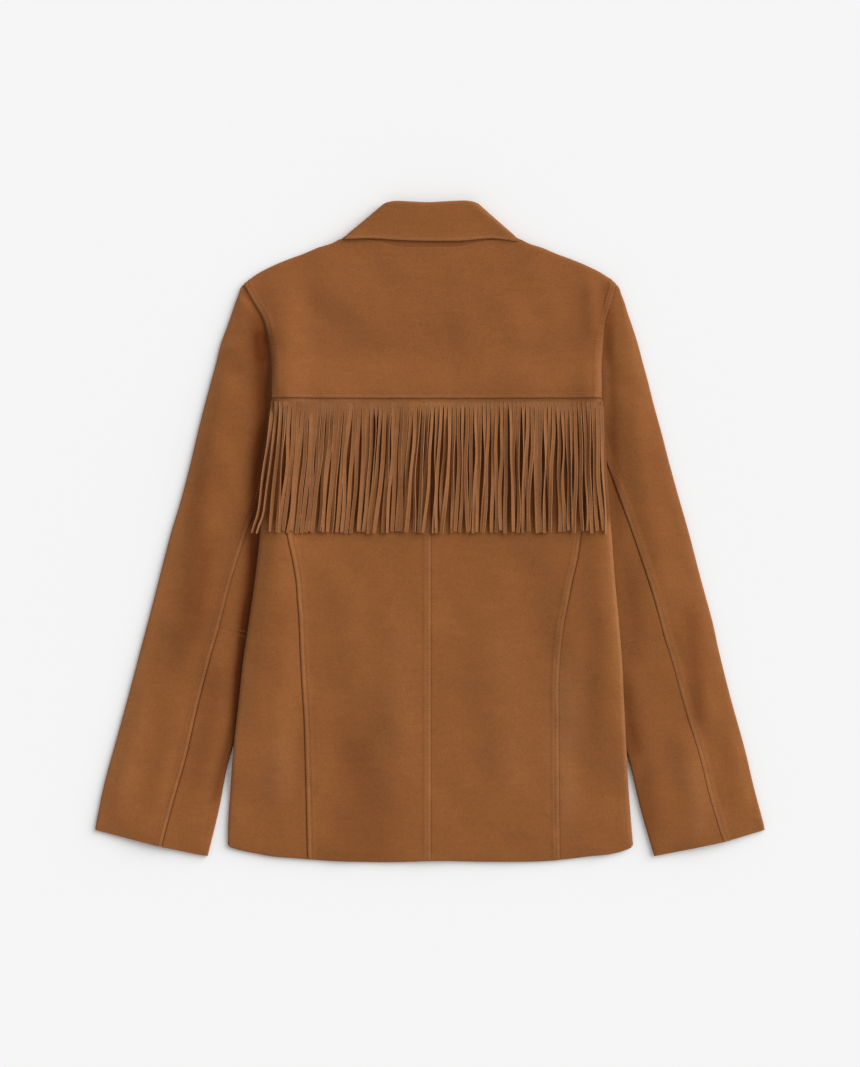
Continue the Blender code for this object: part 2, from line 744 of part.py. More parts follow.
def make_fringe(collection):
    """A strip of suede cut into strands, its upper edge under the yoke."""
    pitch = (FRINGE_RIGHT - FRINGE_LEFT) / STRANDS
    spare = TIP_RIGHT - TIP_LEFT - STRAND_WIDTH - sum(LOCK_GAPS.values())
    tip_pitch = spare / (STRANDS - 1)
    mesh_data = bmesh.new()

    def corner(x, y):
        return mesh_data.verts.new(np.array([x, y, float(fringe_height(x, y))]) * MM)

    previous = None
    shift = 0.0
    for k in range(STRANDS):
        root = FRINGE_LEFT + pitch * k + (pitch - STRAND_WIDTH) / 2
        tip = TIP_LEFT + tip_pitch * k + shift
        shift += LOCK_GAPS.get(k, 0.0)
        root_y = ROOT_Y + ROOT_SPREAD * math.sin(k * ROOT_TURN)
        tip_y = TIP_Y + TIP_SPREAD * math.sin(k * TIP_TURN + TIP_START)
        top_y = YOKE_EDGE + FRINGE_LAP
        row = [corner(root, top_y), corner(root + STRAND_WIDTH, top_y)]
        below = [corner(root, root_y), corner(root + STRAND_WIDTH, root_y)]
        mesh_data.faces.new([below[0], below[1], row[1], row[0]])
        if previous:
            mesh_data.faces.new([previous[1], below[0], row[0], previous[0]])
        previous = (row[1], below[1])
        upper = below
        for bend in range(1, STRAND_BENDS + 1):
            share = bend / STRAND_BENDS
            x = root + (tip - root) * share**STRAND_LEAN
            y = root_y + (tip_y - root_y) * share
            lower = [corner(x, y), corner(x + STRAND_WIDTH, y)]
            mesh_data.faces.new([lower[0], lower[1], upper[1], upper[0]])
            upper = lower
    thicken("fringe", mesh_data, [], STRAND_THICK, collection, 1.08)


def clear_scene():
    for thing in list(bpy.data.objects):
        bpy.data.objects.remove(thing)


def main():
    clear_scene()
    jacket = bpy.data.collections.new("fringed_jacket")
    bpy.context.scene.collection.children.link(jacket)
    make_back(jacket)
    make_fringe(jacket)
    make_fronts(jacket)
    for side in SLEEVES:
        make_sleeve(side, jacket)
    make_collar(jacket)


main()
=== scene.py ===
# %% [markdown]
# # A fringed suede jacket, laid flat
#
# This lesson dresses a finished solid model of a suede jacket that lies on a table with
# its back up. The solids give every size and place. Here each one gets its real look:
# thin suede with seams, welts, soft folds, thread and a fringe of cut strands.
#
# Lengths are in millimetres until a mesh is made. +X is to the right as the back is
# seen, +Y is towards the neck and +Z is up from the table.

# %% Load the solid model
import math
from collections import namedtuple

import bpy
import numpy as np
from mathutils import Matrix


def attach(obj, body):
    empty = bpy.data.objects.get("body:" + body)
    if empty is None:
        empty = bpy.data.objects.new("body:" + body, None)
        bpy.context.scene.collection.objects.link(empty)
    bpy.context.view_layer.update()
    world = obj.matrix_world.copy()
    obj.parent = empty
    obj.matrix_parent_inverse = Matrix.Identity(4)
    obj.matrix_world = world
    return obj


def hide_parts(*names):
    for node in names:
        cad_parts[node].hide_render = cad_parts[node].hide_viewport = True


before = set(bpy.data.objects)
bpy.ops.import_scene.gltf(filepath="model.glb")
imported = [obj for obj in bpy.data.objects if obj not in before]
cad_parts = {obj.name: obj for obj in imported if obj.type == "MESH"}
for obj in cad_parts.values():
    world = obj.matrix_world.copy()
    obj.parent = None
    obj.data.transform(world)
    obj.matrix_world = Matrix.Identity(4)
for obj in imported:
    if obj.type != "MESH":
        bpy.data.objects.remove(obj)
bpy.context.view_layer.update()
MM = 0.001
root = "root"
print("solids:", sorted(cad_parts))

# %% [markdown]
# ## The table, the light and the camera
#
# A jacket is best seen flat from straight above. The camera stands more than two and a
# half metres up, as a longer lens keeps the seams at the edges from leaning outwards.
# Soft leather shows its folds only when some light comes from the side, so a wide, low
# lamp at the upper right does the modelling and a white room fills the shadows.

# %% Camera straight above
IMAGE_WIDTH, IMAGE_HEIGHT = 860, 1067
PIXEL = 1.06  # millimetres on the table
LENS, SENSOR = 85.0, 36.0
VIEW_CENTRE_Y = -1.6
SUBJECT_LEVEL = 8.0

scene = bpy.context.scene
camera_data = bpy.data.cameras.new("overhead")
camera_data.lens = LENS
camera_data.sensor_fit = "VERTICAL"
camera_data.sensor_height = SENSOR
camera_data.sensor_width = SENSOR * IMAGE_WIDTH / IMAGE_HEIGHT
camera = bpy.data.objects.new("overhead", camera_data)
view_distance = IMAGE_HEIGHT * PIXEL * LENS / SENSOR
camera.location = (0, VIEW_CENTRE_Y * MM, (view_distance + SUBJECT_LEVEL) * MM)
scene.collection.objects.link(camera)
scene.camera = camera
print(f"camera {camera.location.z:.2f} m above the table")

# %% A white room and one wide lamp
ROOM_LIGHT = 0.55
LAMP_POWER = 2.95
LAMP_AZIMUTH, LAMP_HEIGHT = math.radians(32), math.radians(30)
LAMP_SPREAD = math.radians(56)

scene.view_settings.view_transform = "Standard"
world = bpy.data.worlds.new("white_room")
scene.world = world
world.use_nodes = True
world.node_tree.nodes["Background"].inputs["Color"].default_value = (1, 1, 1, 1)
world.node_tree.nodes["Background"].inputs["Strength"].default_value = ROOM_LIGHT

lamp_data = bpy.data.lights.new("wide_lamp", "SUN")
lamp_data.energy = LAMP_POWER
lamp_data.angle = LAMP_SPREAD
lamp = bpy.data.objects.new("wide_lamp", lamp_data)
lamp.rotation_euler = (0, math.pi / 2 - LAMP_HEIGHT, LAMP_AZIMUTH)
scene.collection.objects.link(lamp)

# %% The table top
TABLE_HALF = 4.0  # metres
TABLE_DROP = 0.2  # its face lies just below the jacket's lowest points
TABLE_COLOUR = (0.9, 0.9, 0.9, 1)
TABLE_ROUGHNESS = 0.9

corners = [(x * TABLE_HALF, y * TABLE_HALF, 0) for x, y in ((-1, -1), (1, -1), (1, 1), (-1, 1))]
table_mesh = bpy.data.meshes.new("table_top")
table_mesh.from_pydata(corners, [], [(0, 1, 2, 3)])
table = bpy.data.objects.new("table_top", table_mesh)
table.location.z = -TABLE_DROP * MM
scene.collection.objects.link(table)
table_finish = bpy.data.materials.new("pale_table")
table_finish.use_nodes = True
table_shader = table_finish.node_tree.nodes["Principled BSDF"]
table_shader.inputs["Base Color"].default_value = TABLE_COLOUR
table_shader.inputs["Roughness"].default_value = TABLE_ROUGHNESS
table_shader.inputs["Specular IOR Level"].default_value = 0.0
table_mesh.materials.append(table_finish)
print(f"table {2 * TABLE_HALF:.0f} m wide")

# %% [markdown]
# ## Suede
#
# Suede is the split side of a hide, sanded to a short nap. It has no gloss. Its colour
# changes in soft clouds where the nap lies this way or that, in faint streaks where it
# was brushed, and from fibre to fibre close up. Where it bends or rubs, the nap wears
# paler. Shade is also painted into the colour in creases, along seams and under the
# fringe, and highlights are painted on edges and slopes that face the lamp. A cut edge
# shows the hide's warm orange core.
# The clouds, the streaks, the fibres, the wear and the painted shade and highlights are
# shader node groups, because the nap, the flesh side, the fringe and the cut edges all
# use them, each at its own strength. Two values stored at the points of each mesh say
# where the nap is worn, with some painted highlights in that value too, and where shade
# and highlights are painted.

# %% A short way to wire nodes
def add_node(tree, kind, inputs=None, **settings):
    """A node with its settings and inputs: an input is a value or another node's socket."""
    node = tree.nodes.new(kind)
    for key, value in settings.items():
        setattr(node, key, value)
    for key, value in (inputs or {}).items():
        if isinstance(value, bpy.types.NodeSocket):
            tree.links.new(value, node.inputs[key])
        else:
            node.inputs[key].default_value = value
    return node


def maths(tree, operation, first, second=0.0, third=0.0):
    """The result of one Math node."""
    inputs = {0: first, 1: second, 2: third}
    return add_node(tree, "ShaderNodeMath", inputs, operation=operation).outputs[0]


def noise(tree, scale, detail=2.0, stretch=(1, 1, 1), distortion=0.0, roughness=0.5):
    """Noise over the object's own space, in cycles per metre."""
    place = add_node(tree, "ShaderNodeTexCoord").outputs["Object"]
    mapped = add_node(tree, "ShaderNodeMapping", {"Vector": place, "Scale": stretch})
    inputs = {"Vector": mapped.outputs["Vector"], "Scale": scale, "Detail": detail}
    inputs |= {"Distortion": distortion, "Roughness": roughness}
    return add_node(tree, "ShaderNodeTexNoise", inputs).outputs["Fac"]


# %% A short way to make node groups
GROUPS = {}


def new_group(name, sockets_in, sockets_out):
    """An empty node group: sockets_in gives each input's default value."""
    tree = bpy.data.node_groups.new(name, "ShaderNodeTree")
    for socket, default in sockets_in.items():
        made = tree.interface.new_socket(socket, in_out="INPUT", socket_type="NodeSocketFloat")
        made.default_value = default
    for socket in sockets_out:
        tree.interface.new_socket(socket, in_out="OUTPUT", socket_type="NodeSocketFloat")
    return tree, tree.nodes.new("NodeGroupInput").outputs, tree.nodes.new("NodeGroupOutput").inputs


def about_zero(tree, first, second):
    """The sum of two noises, moved to lie about 0."""
    return maths(tree, "SUBTRACT", maths(tree, "ADD", first, second), 1.0)


# %% Clouds and streaks
CLOUDS = ((9.0, 0.48), (34.0, 0.27), (120.0, 0.28), (270.0, 0.2))  # cycles per metre, and share


def make_clouds():
    """Soft clouds where the nap lies one way or the other, about 0."""
    tree, given, result = new_group("nap_clouds", {"Strength": 1.0}, ["Shade"])
    total = 0.0
    for scale, share in CLOUDS:
        part = maths(tree, "SUBTRACT", noise(tree, scale, 3.0, distortion=0.6), 0.5)
        total = maths(tree, "MULTIPLY_ADD", part, share, total)
    tree.links.new(maths(tree, "MULTIPLY", total, given["Strength"]), result["Shade"])
    return tree


def make_streaks():
    """Fine streaks across the jacket, as the nap was brushed, about 0."""
    tree, given, result = new_group("brushed_streaks", {"Strength": 1.0}, ["Shade"])
    long_ones = noise(tree, 20.0, 2.0, stretch=(0.7, 9.0, 1.0), distortion=0.3)
    short_ones = noise(tree, 60.0, 2.0, stretch=(0.9, 7.0, 1.0), distortion=0.2)
    both = about_zero(tree, long_ones, short_ones)
    tree.links.new(maths(tree, "MULTIPLY", both, given["Strength"]), result["Shade"])
    return tree


GROUPS |= {"clouds": make_clouds(), "streaks": make_streaks()}
print("node groups so far:", list(GROUPS))


# %% Single fibres
def make_fibres():
    """Single fibres of the nap: a shade about 0, and a height for the bump."""
    tree, given, result = new_group("nap_fibres", {"Strength": 1.0}, ["Shade", "Height"])
    tufts = noise(tree, 420.0, 3.0, distortion=0.4, roughness=0.7)
    hairs = noise(tree, 1500.0, 2.0, stretch=(1.0, 0.55, 1.0))
    both = about_zero(tree, tufts, hairs)
    tree.links.new(maths(tree, "MULTIPLY", both, given["Strength"]), result["Shade"])
    tree.links.new(both, result["Height"])
    return tree


GROUPS["fibres"] = make_fibres()

# %% Rubbed nap, painted shade and painted highlights
WEAR_HIGHLIGHT_PATCHES = (1.1, 0.25)  # how much the patches break up the wear and its painted highlights, and the least that stays
PAINTED_LIGHT_PATCHES = (0.5, 0.75)  # the same for the painted shade and highlights
PAINTED_LIGHT_SHARES = {"Dark": -1.5, "Light": 1.0}  # painted shade darkens faster than painted highlight pales


def send_clipped(tree, value, socket):
    """Sends a value to a socket, kept between 0 and 1."""
    tree.links.new(add_node(tree, "ShaderNodeClamp", {"Value": value}).outputs["Result"], socket)


def make_wear_and_highlight():
    """Where the nap is rubbed paler, and where highlights are painted: the stored value, broken up by
    patches.
    """
    tree, given, result = new_group("rubbed_edges", {"Wear": 0.0, "Strength": 1.0}, ["Mask"])
    patches = maths(tree, "MULTIPLY_ADD", noise(tree, 70.0, 3.0), *WEAR_HIGHLIGHT_PATCHES)
    rubbed_and_lit = maths(tree, "MULTIPLY", given["Wear"], patches)
    send_clipped(tree, maths(tree, "MULTIPLY", rubbed_and_lit, given["Strength"]), result["Mask"])
    return tree


def make_painted_light():
    """Painted shade and painted highlights, from a stored value of -1 to 1."""
    tree, given, result = new_group("lying_nap", {"Lie": 0.0, "Strength": 1.0}, list(PAINTED_LIGHT_SHARES))
    patches = maths(tree, "MULTIPLY_ADD", noise(tree, 28.0, 3.0, distortion=0.5), *PAINTED_LIGHT_PATCHES)
    painted_light = maths(tree, "MULTIPLY", given["Lie"], patches)
    painted_light = maths(tree, "MULTIPLY", painted_light, given["Strength"])
    for socket, share in PAINTED_LIGHT_SHARES.items():
        send_clipped(tree, maths(tree, "MULTIPLY", painted_light, share), result[socket])
    return tree


GROUPS |= {"wear": make_wear_and_highlight(), "lying_nap": make_painted_light()}
print("node groups:", [tree.name for tree in GROUPS.values()])

# %% How a suede finish is wired
WEAR_HIGHLIGHT_VALUE = "wear"  # stored at each point of a mesh, 0 to 1: wear, with painted highlights in places
PAINTED_LIGHT_VALUE = "nap_lie"  # stored at each point: -1 for painted shade, 1 for a painted highlight
WEAR_HIGHLIGHT_STRENGTH = 0.5
# The colours that painted shade and painted highlights mix in
PAINTED_SHADE_COLOUR = (0.112, 0.024, 0.003)
PAINTED_HIGHLIGHT_COLOUR = (0.33, 0.135, 0.05)
FIBRE_BUMP, FIBRE_DEPTH = 0.6, 0.25
SUEDE_SOCKETS = {
    "Roughness": 0.95,
    "Specular IOR Level": 0.12,
    "Sheen Roughness": 0.6,
    "Sheen Tint": (1.0, 0.72, 0.5, 1),
}
# worn: the paler colour where the wear value is high, which also gives painted highlights
Hide = namedtuple("Hide", "colour worn clouds streaks fibres sheen")


def mixed(tree, below, above, mask):
    """One colour with another laid over it where the mask is 1."""
    values = {"Factor": mask, "A": below, "B": (*above, 1)}
    return add_node(tree, "ShaderNodeMix", values, data_type="RGBA").outputs["Result"]


def suede(name, hide):
    """A suede finish: its colour, where it wears paler, where shade and highlights are painted, and how
    strong each effect is.
    """
    material = bpy.data.materials.new(name)
    material.use_nodes = True
    tree = material.node_tree
    shader = tree.nodes["Principled BSDF"]

    def effect(group, **inputs):
        return add_node(tree, "ShaderNodeGroup", inputs, node_tree=GROUPS[group]).outputs

    def stored(value_name):
        return add_node(tree, "ShaderNodeAttribute", attribute_name=value_name).outputs["Fac"]

    fibre = effect("fibres", Strength=hide.fibres)
    shade = effect("clouds", Strength=hide.clouds)["Shade"]
    for other in (effect("streaks", Strength=hide.streaks)["Shade"], fibre["Shade"]):
        shade = maths(tree, "ADD", shade, other)
    # Wear with its painted highlights, then painted highlights and painted shade, over the hide's colour
    rubbed_and_lit = effect("wear", Wear=stored(WEAR_HIGHLIGHT_VALUE), Strength=WEAR_HIGHLIGHT_STRENGTH)["Mask"]
    painted = effect("lying_nap", Lie=stored(PAINTED_LIGHT_VALUE))
    base = mixed(tree, (*hide.colour, 1), hide.worn, rubbed_and_lit)
    base = mixed(tree, base, PAINTED_HIGHLIGHT_COLOUR, painted["Light"])
    base = mixed(tree, base, PAINTED_SHADE_COLOUR, painted["Dark"])
    inputs = {0: base, "Scale": maths(tree, "ADD", shade, 1.0)}
    tint = add_node(tree, "ShaderNodeVectorMath", inputs, operation="SCALE")
    tree.links.new(tint.outputs[0], shader.inputs["Base Color"])
    inputs = {"Height": fibre["Height"], "Strength": FIBRE_BUMP, "Distance": FIBRE_DEPTH * MM}
    tree.links.new(add_node(tree, "ShaderNodeBump", inputs).outputs["Normal"], shader.inputs["Normal"])
    for socket, value in SUEDE_SOCKETS.items():
        shader.inputs[socket].default_value = value
    shader.inputs["Sheen Weight"].default_value = hide.sheen
    return material


# %% The finishes
# Worn nap is paler; the same colour gives the painted highlights that the wear value carries
WORN_AND_LIT_COLOUR = (0.36, 0.155, 0.06)
HIDES = {
    "suede_nap": Hide((0.25, 0.088, 0.024), WORN_AND_LIT_COLOUR, 0.48, 0.1, 0.44, 0.12),
    "suede_yoke": Hide((0.255, 0.089, 0.025), WORN_AND_LIT_COLOUR, 0.46, 0.1, 0.44, 0.12),
    "suede_flesh_side": Hide((0.30, 0.16, 0.085), (0.34, 0.2, 0.12), 0.6, 0.0, 0.8, 0.12),
    "suede_cut_edge": Hide((0.235, 0.072, 0.014), (0.32, 0.12, 0.03), 0.3, 0.0, 0.4, 0.12),
    "fringe_suede": Hide((0.232, 0.086, 0.026), (0.36, 0.17, 0.082), 0.7, 0.1, 0.4, 0.05),
    "fringe_cut_edge": Hide((0.42, 0.205, 0.1), (0.5, 0.27, 0.14), 0.3, 0.0, 0.75, 0.05),
    "thread": Hide((0.29, 0.112, 0.037), (0.33, 0.14, 0.05), 0.2, 0.0, 0.3, 0.1),
}
finishes = {name: suede(name, hide) for name, hide in HIDES.items()}
nap, yoke_nap, flesh_side, cut_edge, fringe_nap, fringe_edge, thread = finishes.values()
WALL_FINISHES = (nap, flesh_side, cut_edge)
print("finishes:", list(finishes))

# %% [markdown]
# ## Curves, panels and walls of suede
#
# A pattern cutter draws each outline as a smooth curve through a few measured points,
# and so does this lesson. Between four outlines, `panel` lays a grid of points, closer
# together beside seams where the shape changes quickly.
#
# A modifier could thicken the grid, but it would give every point the same thickness.
# `make_wall` thickens it point by point instead, so that a welt can stand proud, a
# stitch line can sink and a cut edge can round off, all in one closed mesh.

# %% Soft steps and smooth curves
def smooth(share):
    """A soft step from 0 to 1."""
    t = np.clip(share, 0.0, 1.0)
    return t * t * (3 - 2 * t)


def near(distance, reach):
    """1 on a line, falling softly to 0 beyond this reach."""
    return np.exp(-((distance / reach) ** 2))


def smooth_curve(places, values):
    """A smooth curve through the points of a table; each value may be a number or a row."""
    p, v = np.asarray(places, float), np.asarray(values, float)
    slopes = np.gradient(v, p, axis=0)
    spare = (1,) * (v.ndim - 1)

    def at(where):
        w = np.clip(np.asarray(where, float), p[0], p[-1])
        k = np.clip(np.searchsorted(p, w, side="right") - 1, 0, len(p) - 2)
        step = (p[k + 1] - p[k]).reshape(w.shape + spare)
        t = (w - p[k]).reshape(w.shape + spare) / step
        rise = 3 * t**2 - 2 * t**3
        lead = t**3 - 2 * t**2 + t
        trail = t**3 - t**2
        return v[k] * (1 - rise) + v[k + 1] * rise + (slopes[k] * lead + slopes[k + 1] * trail) * step

    return at


def column(table, at, field):
    """A named column of a table as a smooth function of its column `at`."""
    rows = sorted(table, key=lambda row: getattr(row, at))
    return smooth_curve([getattr(row, at) for row in rows], [getattr(row, field) for row in rows])

# %% Uneven rumples
RUMPLE_WAVES = 26
RUMPLE_LENGTHS = (34.0, 130.0)  # millimetres
rumple_random = np.random.default_rng(11)
rumple_way = rumple_random.uniform(0, 2 * math.pi, RUMPLE_WAVES)
rumple_length = rumple_random.uniform(*RUMPLE_LENGTHS, RUMPLE_WAVES)
rumple_start = rumple_random.uniform(0, 2 * math.pi, RUMPLE_WAVES)


def rumple(x, y):
    """Gentle unevenness of a hide that lies flat, about -1 to 1."""
    total = 0.0
    for way, length, start in zip(rumple_way, rumple_length, rumple_start):
        along = x * math.cos(way) + y * math.sin(way)
        total = total + np.sin(along * 2 * math.pi / length + start)
    return total / math.sqrt(RUMPLE_WAVES)


print(RUMPLE_WAVES, "waves in the rumples, the longest", round(rumple_length.max()), "mm")

# %% Soft folds, each drawn along a path
# The same paths also place painted shade and highlights; there height is how strong they are
Fold = namedtuple("Fold", "path width height")
FOLD_ENDS = 3.5  # a fold fades in over one part in 3.5 of its length
FOLD_POINTS = 13


def fold_height(folds, x, y):
    """How far the folds lift the suede at each point."""
    total = np.zeros(np.shape(x))
    for fold in folds:
        drawn = smooth_curve(range(len(fold.path)), fold.path)
        path = drawn(np.linspace(0, len(fold.path) - 1, FOLD_POINTS))
        nearest = np.full(np.shape(x), np.inf)
        share = np.zeros(np.shape(x))
        for k, ((x0, y0), (x1, y1)) in enumerate(zip(path[:-1], path[1:])):
            dx, dy = x1 - x0, y1 - y0
            t = np.clip(((x - x0) * dx + (y - y0) * dy) / (dx * dx + dy * dy), 0, 1)
            distance = np.hypot(x - x0 - t * dx, y - y0 - t * dy)
            closer = distance < nearest
            nearest = np.where(closer, distance, nearest)
            share = np.where(closer, (k + t) / (FOLD_POINTS - 1), share)
        fade = smooth(share * FOLD_ENDS) * smooth((1 - share) * FOLD_ENDS)
        total = total + fold.height * fade * near(nearest, fold.width)
    return total


# %% A grid of points between four outlines
SETTLING_ROUNDS = 8  # rows and columns bend each other, and settle in a few rounds


def spread(low, high, first, last, count):
    """Places from low to high: `first` and `last` are distances from the two ends."""
    start, stop = low + first[:, -1], high - last[:, -1]
    shares = np.linspace(0, 1, count + 2)[1:-1]
    middle = start[:, None] + (stop - start)[:, None] * shares
    return np.hstack([low[:, None] + first, middle, (high[:, None] - last)[:, ::-1]])


def fixed(insets):
    """The same distances from an outline all along it."""
    row = np.array(insets, float)
    return lambda place: np.tile(row, (len(place), 1))


def level(height):
    """A straight outline: at one height across the piece, or at one x along it."""
    return lambda place: np.full(np.shape(place), float(height))


def panel(left, right, bottom, top, borders, across, along):
    """x and y of a grid: borders gives the distances at left, right, bottom and top."""
    nowhere = np.zeros(1)
    rows = borders[2](nowhere).shape[1] + along + borders[3](nowhere).shape[1]
    middle_x = (left(nowhere) + right(nowhere)) / 2
    ends = (float(bottom(middle_x)[0]), float(top(middle_x)[0]))
    y = np.linspace(*ends, rows)[:, None] * np.ones(2)
    for _ in range(SETTLING_ROUNDS):
        low, high = y[:, 0], y[:, -1]
        x = spread(left(low), right(high), borders[0](low), borders[1](high), across)
        y = spread(bottom(x[0]), top(x[-1]), borders[2](x[0]), borders[3](x[-1]), along).T
    return x, y


# %% From points to a piece of the jacket
SHARP = math.radians(48)


def unit(vectors):
    """Vectors of length 1."""
    return vectors / np.maximum(np.linalg.norm(vectors, axis=-1, keepdims=True), 1e-9)


def new_mesh(name, points, faces, kinds):
    """A smooth mesh from points in millimetres; kinds picks one finish for each face."""
    mesh = bpy.data.meshes.new(name)
    mesh.from_pydata((np.asarray(points) * MM).tolist(), [], faces)
    mesh.polygons.foreach_set("material_index", np.asarray(kinds, np.int32))
    mesh.polygons.foreach_set("use_smooth", np.ones(len(faces), bool))
    mesh.update()
    return mesh


def store(mesh, name, values):
    """Keeps a value at each point of a mesh, for its finish to read."""
    kept = mesh.attributes.new(name, "FLOAT", "POINT")
    kept.data.foreach_set("value", np.asarray(values, np.float32).ravel())


def finish_object(name, mesh, finishes):
    """A mesh with its finishes as a visible piece of the jacket."""
    for finish in finishes:
        mesh.materials.append(finish)
    piece = bpy.data.objects.new(name, mesh)
    scene.collection.objects.link(piece)
    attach(piece, root)
    return piece


# %% A wall of suede from the grid of its flesh side
WALL = 1.8  # thickness of the suede, nap included
NAP_SIDE, FLESH_SIDE, CUT_EDGE = range(3)  # places in the list of a wall's finishes
Wall = namedtuple("Wall", "piece nap_side normals")


def grid_normals(points):
    """Normals of a grid, to the side where its columns turn to its rows."""
    return unit(np.cross(np.gradient(points, axis=1), np.gradient(points, axis=0)))


def wall_faces(rows, columns):
    """Faces of two grids of points, nap side first, joined round their rim."""
    number = np.arange(rows * columns).reshape(rows, columns)
    quads = (number[:-1, :-1], number[:-1, 1:], number[1:, 1:], number[1:, :-1])
    quads = np.stack(quads, axis=-1).reshape(-1, 4)
    loop = np.concatenate([number[0, :-1], number[:-1, -1], number[-1, :0:-1], number[:0:-1, 0]])
    following, under = np.roll(loop, -1), rows * columns
    rim = np.stack([loop + under, following + under, following, loop], axis=-1)
    faces = np.concatenate([quads, quads[:, ::-1] + under, rim])
    return faces, np.repeat([NAP_SIDE, FLESH_SIDE, CUT_EDGE], [len(quads), len(quads), len(rim)])


def make_wall(name, flesh, relief=0.0, outward=1.0, wear=0.0, painted_light=0.0, finishes=WALL_FINISHES):
    """A closed wall of suede: flesh side, nap side and cut edges."""
    rows, columns = flesh.shape[:2]
    normals = grid_normals(flesh) * outward
    nap_side = flesh + normals * np.broadcast_to(WALL + relief, (rows, columns))[..., None]
    faces, kinds = wall_faces(rows, columns)
    if outward < 0:
        faces = faces[:, ::-1]
    points = np.concatenate([nap_side.reshape(-1, 3), flesh.reshape(-1, 3)])
    mesh = new_mesh(name, points, faces.tolist(), kinds)
    mesh.set_sharp_from_angle(angle=SHARP)
    # Stores the wear with its painted highlights, and the painted shade and highlights, at every point
    for value_name, values in ((WEAR_HIGHLIGHT_VALUE, wear), (PAINTED_LIGHT_VALUE, painted_light)):
        store(mesh, value_name, np.tile(np.broadcast_to(values, (rows, columns)).ravel(), 2))
    piece = finish_object(name, mesh, finishes)
    print(f"{name}: {len(faces)} faces, height {points[:, 2].min():.1f} to {points[:, 2].max():.1f} mm")
    return Wall(piece, nap_side, normals)


# %% [markdown]
# ## Topstitching
#
# The seam allowance is turned to one side and stitched down about 5 mm from the seam.
# That strip, the welt, is three layers thick and stands proud, and the thread pulls a
# shallow groove beside it. A bump map could draw the dots, but thread that really lies
# on the suede catches light from every side. So each stitch is a small spindle whose
# ends dive into the hide, laid along a row of points of the piece that carries it.

# %% The profile beside a seam
WELT, WELT_WIDTH, WELT_SLOPE = 0.6, 6.2, 1.8  # how proud it stands, how wide, and how it ends
STITCH_INSET = 4.9
STITCH_GROOVE, GROOVE_WIDTH = 0.55, 0.8
SEAM_DITCH, DITCH_WIDTH = 0.6, 0.7
# Painted shade along a seam: how dark, and how wide
SEAM_SHADE, SEAM_SHADE_WIDTH = -0.42, 1.0
PUCKER, PUCKER_WIDTH, PUCKER_SCALE = 0.3, 6.0, 3.1
SEAM_WEAR_AND_HIGHLIGHT = ((0.75, 3.0, 2.6), (0.6, 1.1, 0.7))  # strength, distance and width: wear on the welt, and a painted highlight along its edge
SEAM_GAP = 0.3
HALF_GAP = SEAM_GAP / 2
CLOSE_GAP = 0.06  # beside a seam that is pressed shut
WELTED_STATIONS = (HALF_GAP, 0.8, 1.8, 3.2, 4.1, STITCH_INSET, 5.7, 6.6, 8.2, 11.0)
BUTTED_STATIONS = (HALF_GAP, 0.8, 1.8, 4.0)
STITCH_STATION = WELTED_STATIONS.index(STITCH_INSET)


def pucker(x, y):
    """Short ripples where the thread draws the suede up."""
    return PUCKER * rumple(x * PUCKER_SCALE, y * PUCKER_SCALE)


def seam_ditch(distance):
    """A seam sinks between its two pieces."""
    return -SEAM_DITCH * near(distance, DITCH_WIDTH)


def stitch_groove(distance):
    """A line of stitches sinks into the nap."""
    return -STITCH_GROOVE * near(distance - STITCH_INSET, GROOVE_WIDTH)


def painted_seam_shade(distance):
    """Painted shade along a seam."""
    return SEAM_SHADE * near(distance, SEAM_SHADE_WIDTH)


def welt_profile(distance, x, y, depth=1.0):
    """The nap side beside a topstitched seam, whose ditch has this share of its depth."""
    welt = WELT * (1 - smooth((distance - WELT_WIDTH) / WELT_SLOPE))
    ripple = pucker(x, y) * near(distance - WELT_WIDTH, PUCKER_WIDTH)
    return welt + stitch_groove(distance) + depth * seam_ditch(distance) + ripple


def rubbed_and_lit(distance):
    """Wear on the welt's high strip beside a topstitched seam, and a painted highlight most along its edge.
    """
    return sum(strength * near(distance - at, width) for strength, at, width in SEAM_WEAR_AND_HIGHLIGHT)


print(f"stitches run {STITCH_INSET} mm from a seam, at station {STITCH_STATION}")

# %% One stitch
STITCH_PITCH, STITCH_LENGTH = 3.2, 2.5
THREAD_RADIUS, THREAD_FLATNESS = 0.42, 0.75
# Along a stitch: the share of its length, the height over the nap, and the size.
STITCH_RINGS = ((0.0, -0.3, 0.5), (0.22, 0.12, 1.0), (0.5, 0.2, 1.0), (0.78, 0.12, 1.0), (1.0, -0.3, 0.5))
STITCH_SIDES = 6


def stitch_points(head, tail, up):
    """The points of one stitch, ring by ring."""
    side = unit(np.cross(tail - head, up))
    points = []
    for share, height, size in STITCH_RINGS:
        centre = head + (tail - head) * share + up * height
        for turn in np.arange(STITCH_SIDES) * 2 * math.pi / STITCH_SIDES:
            spoke = side * math.cos(turn) + up * math.sin(turn) * THREAD_FLATNESS
            points.append(centre + spoke * THREAD_RADIUS * size)
    return points


def tube_faces(first, rings, sides):
    """Faces round a tube whose points start at number `first`, then its two ends."""
    faces = []
    for ring in range(rings - 1):
        for k in range(sides):
            a, b = (first + ring * sides + corner for corner in (k, (k + 1) % sides))
            faces.append((a, a + sides, b + sides, b))
    last = first + (rings - 1) * sides
    return faces + [tuple(range(first, first + sides)), tuple(range(last, last + sides))[::-1]]


# %% Stitches along a row or a column of points
def column_run(wall, number, rows=slice(None)):
    """A run of stitches along one column of a piece's nap grid."""
    return wall.nap_side[rows, number], wall.normals[rows, number]


def row_run(wall, number, columns=slice(None)):
    """A run of stitches along one row of a piece's nap grid."""
    return wall.nap_side[number, columns], wall.normals[number, columns]


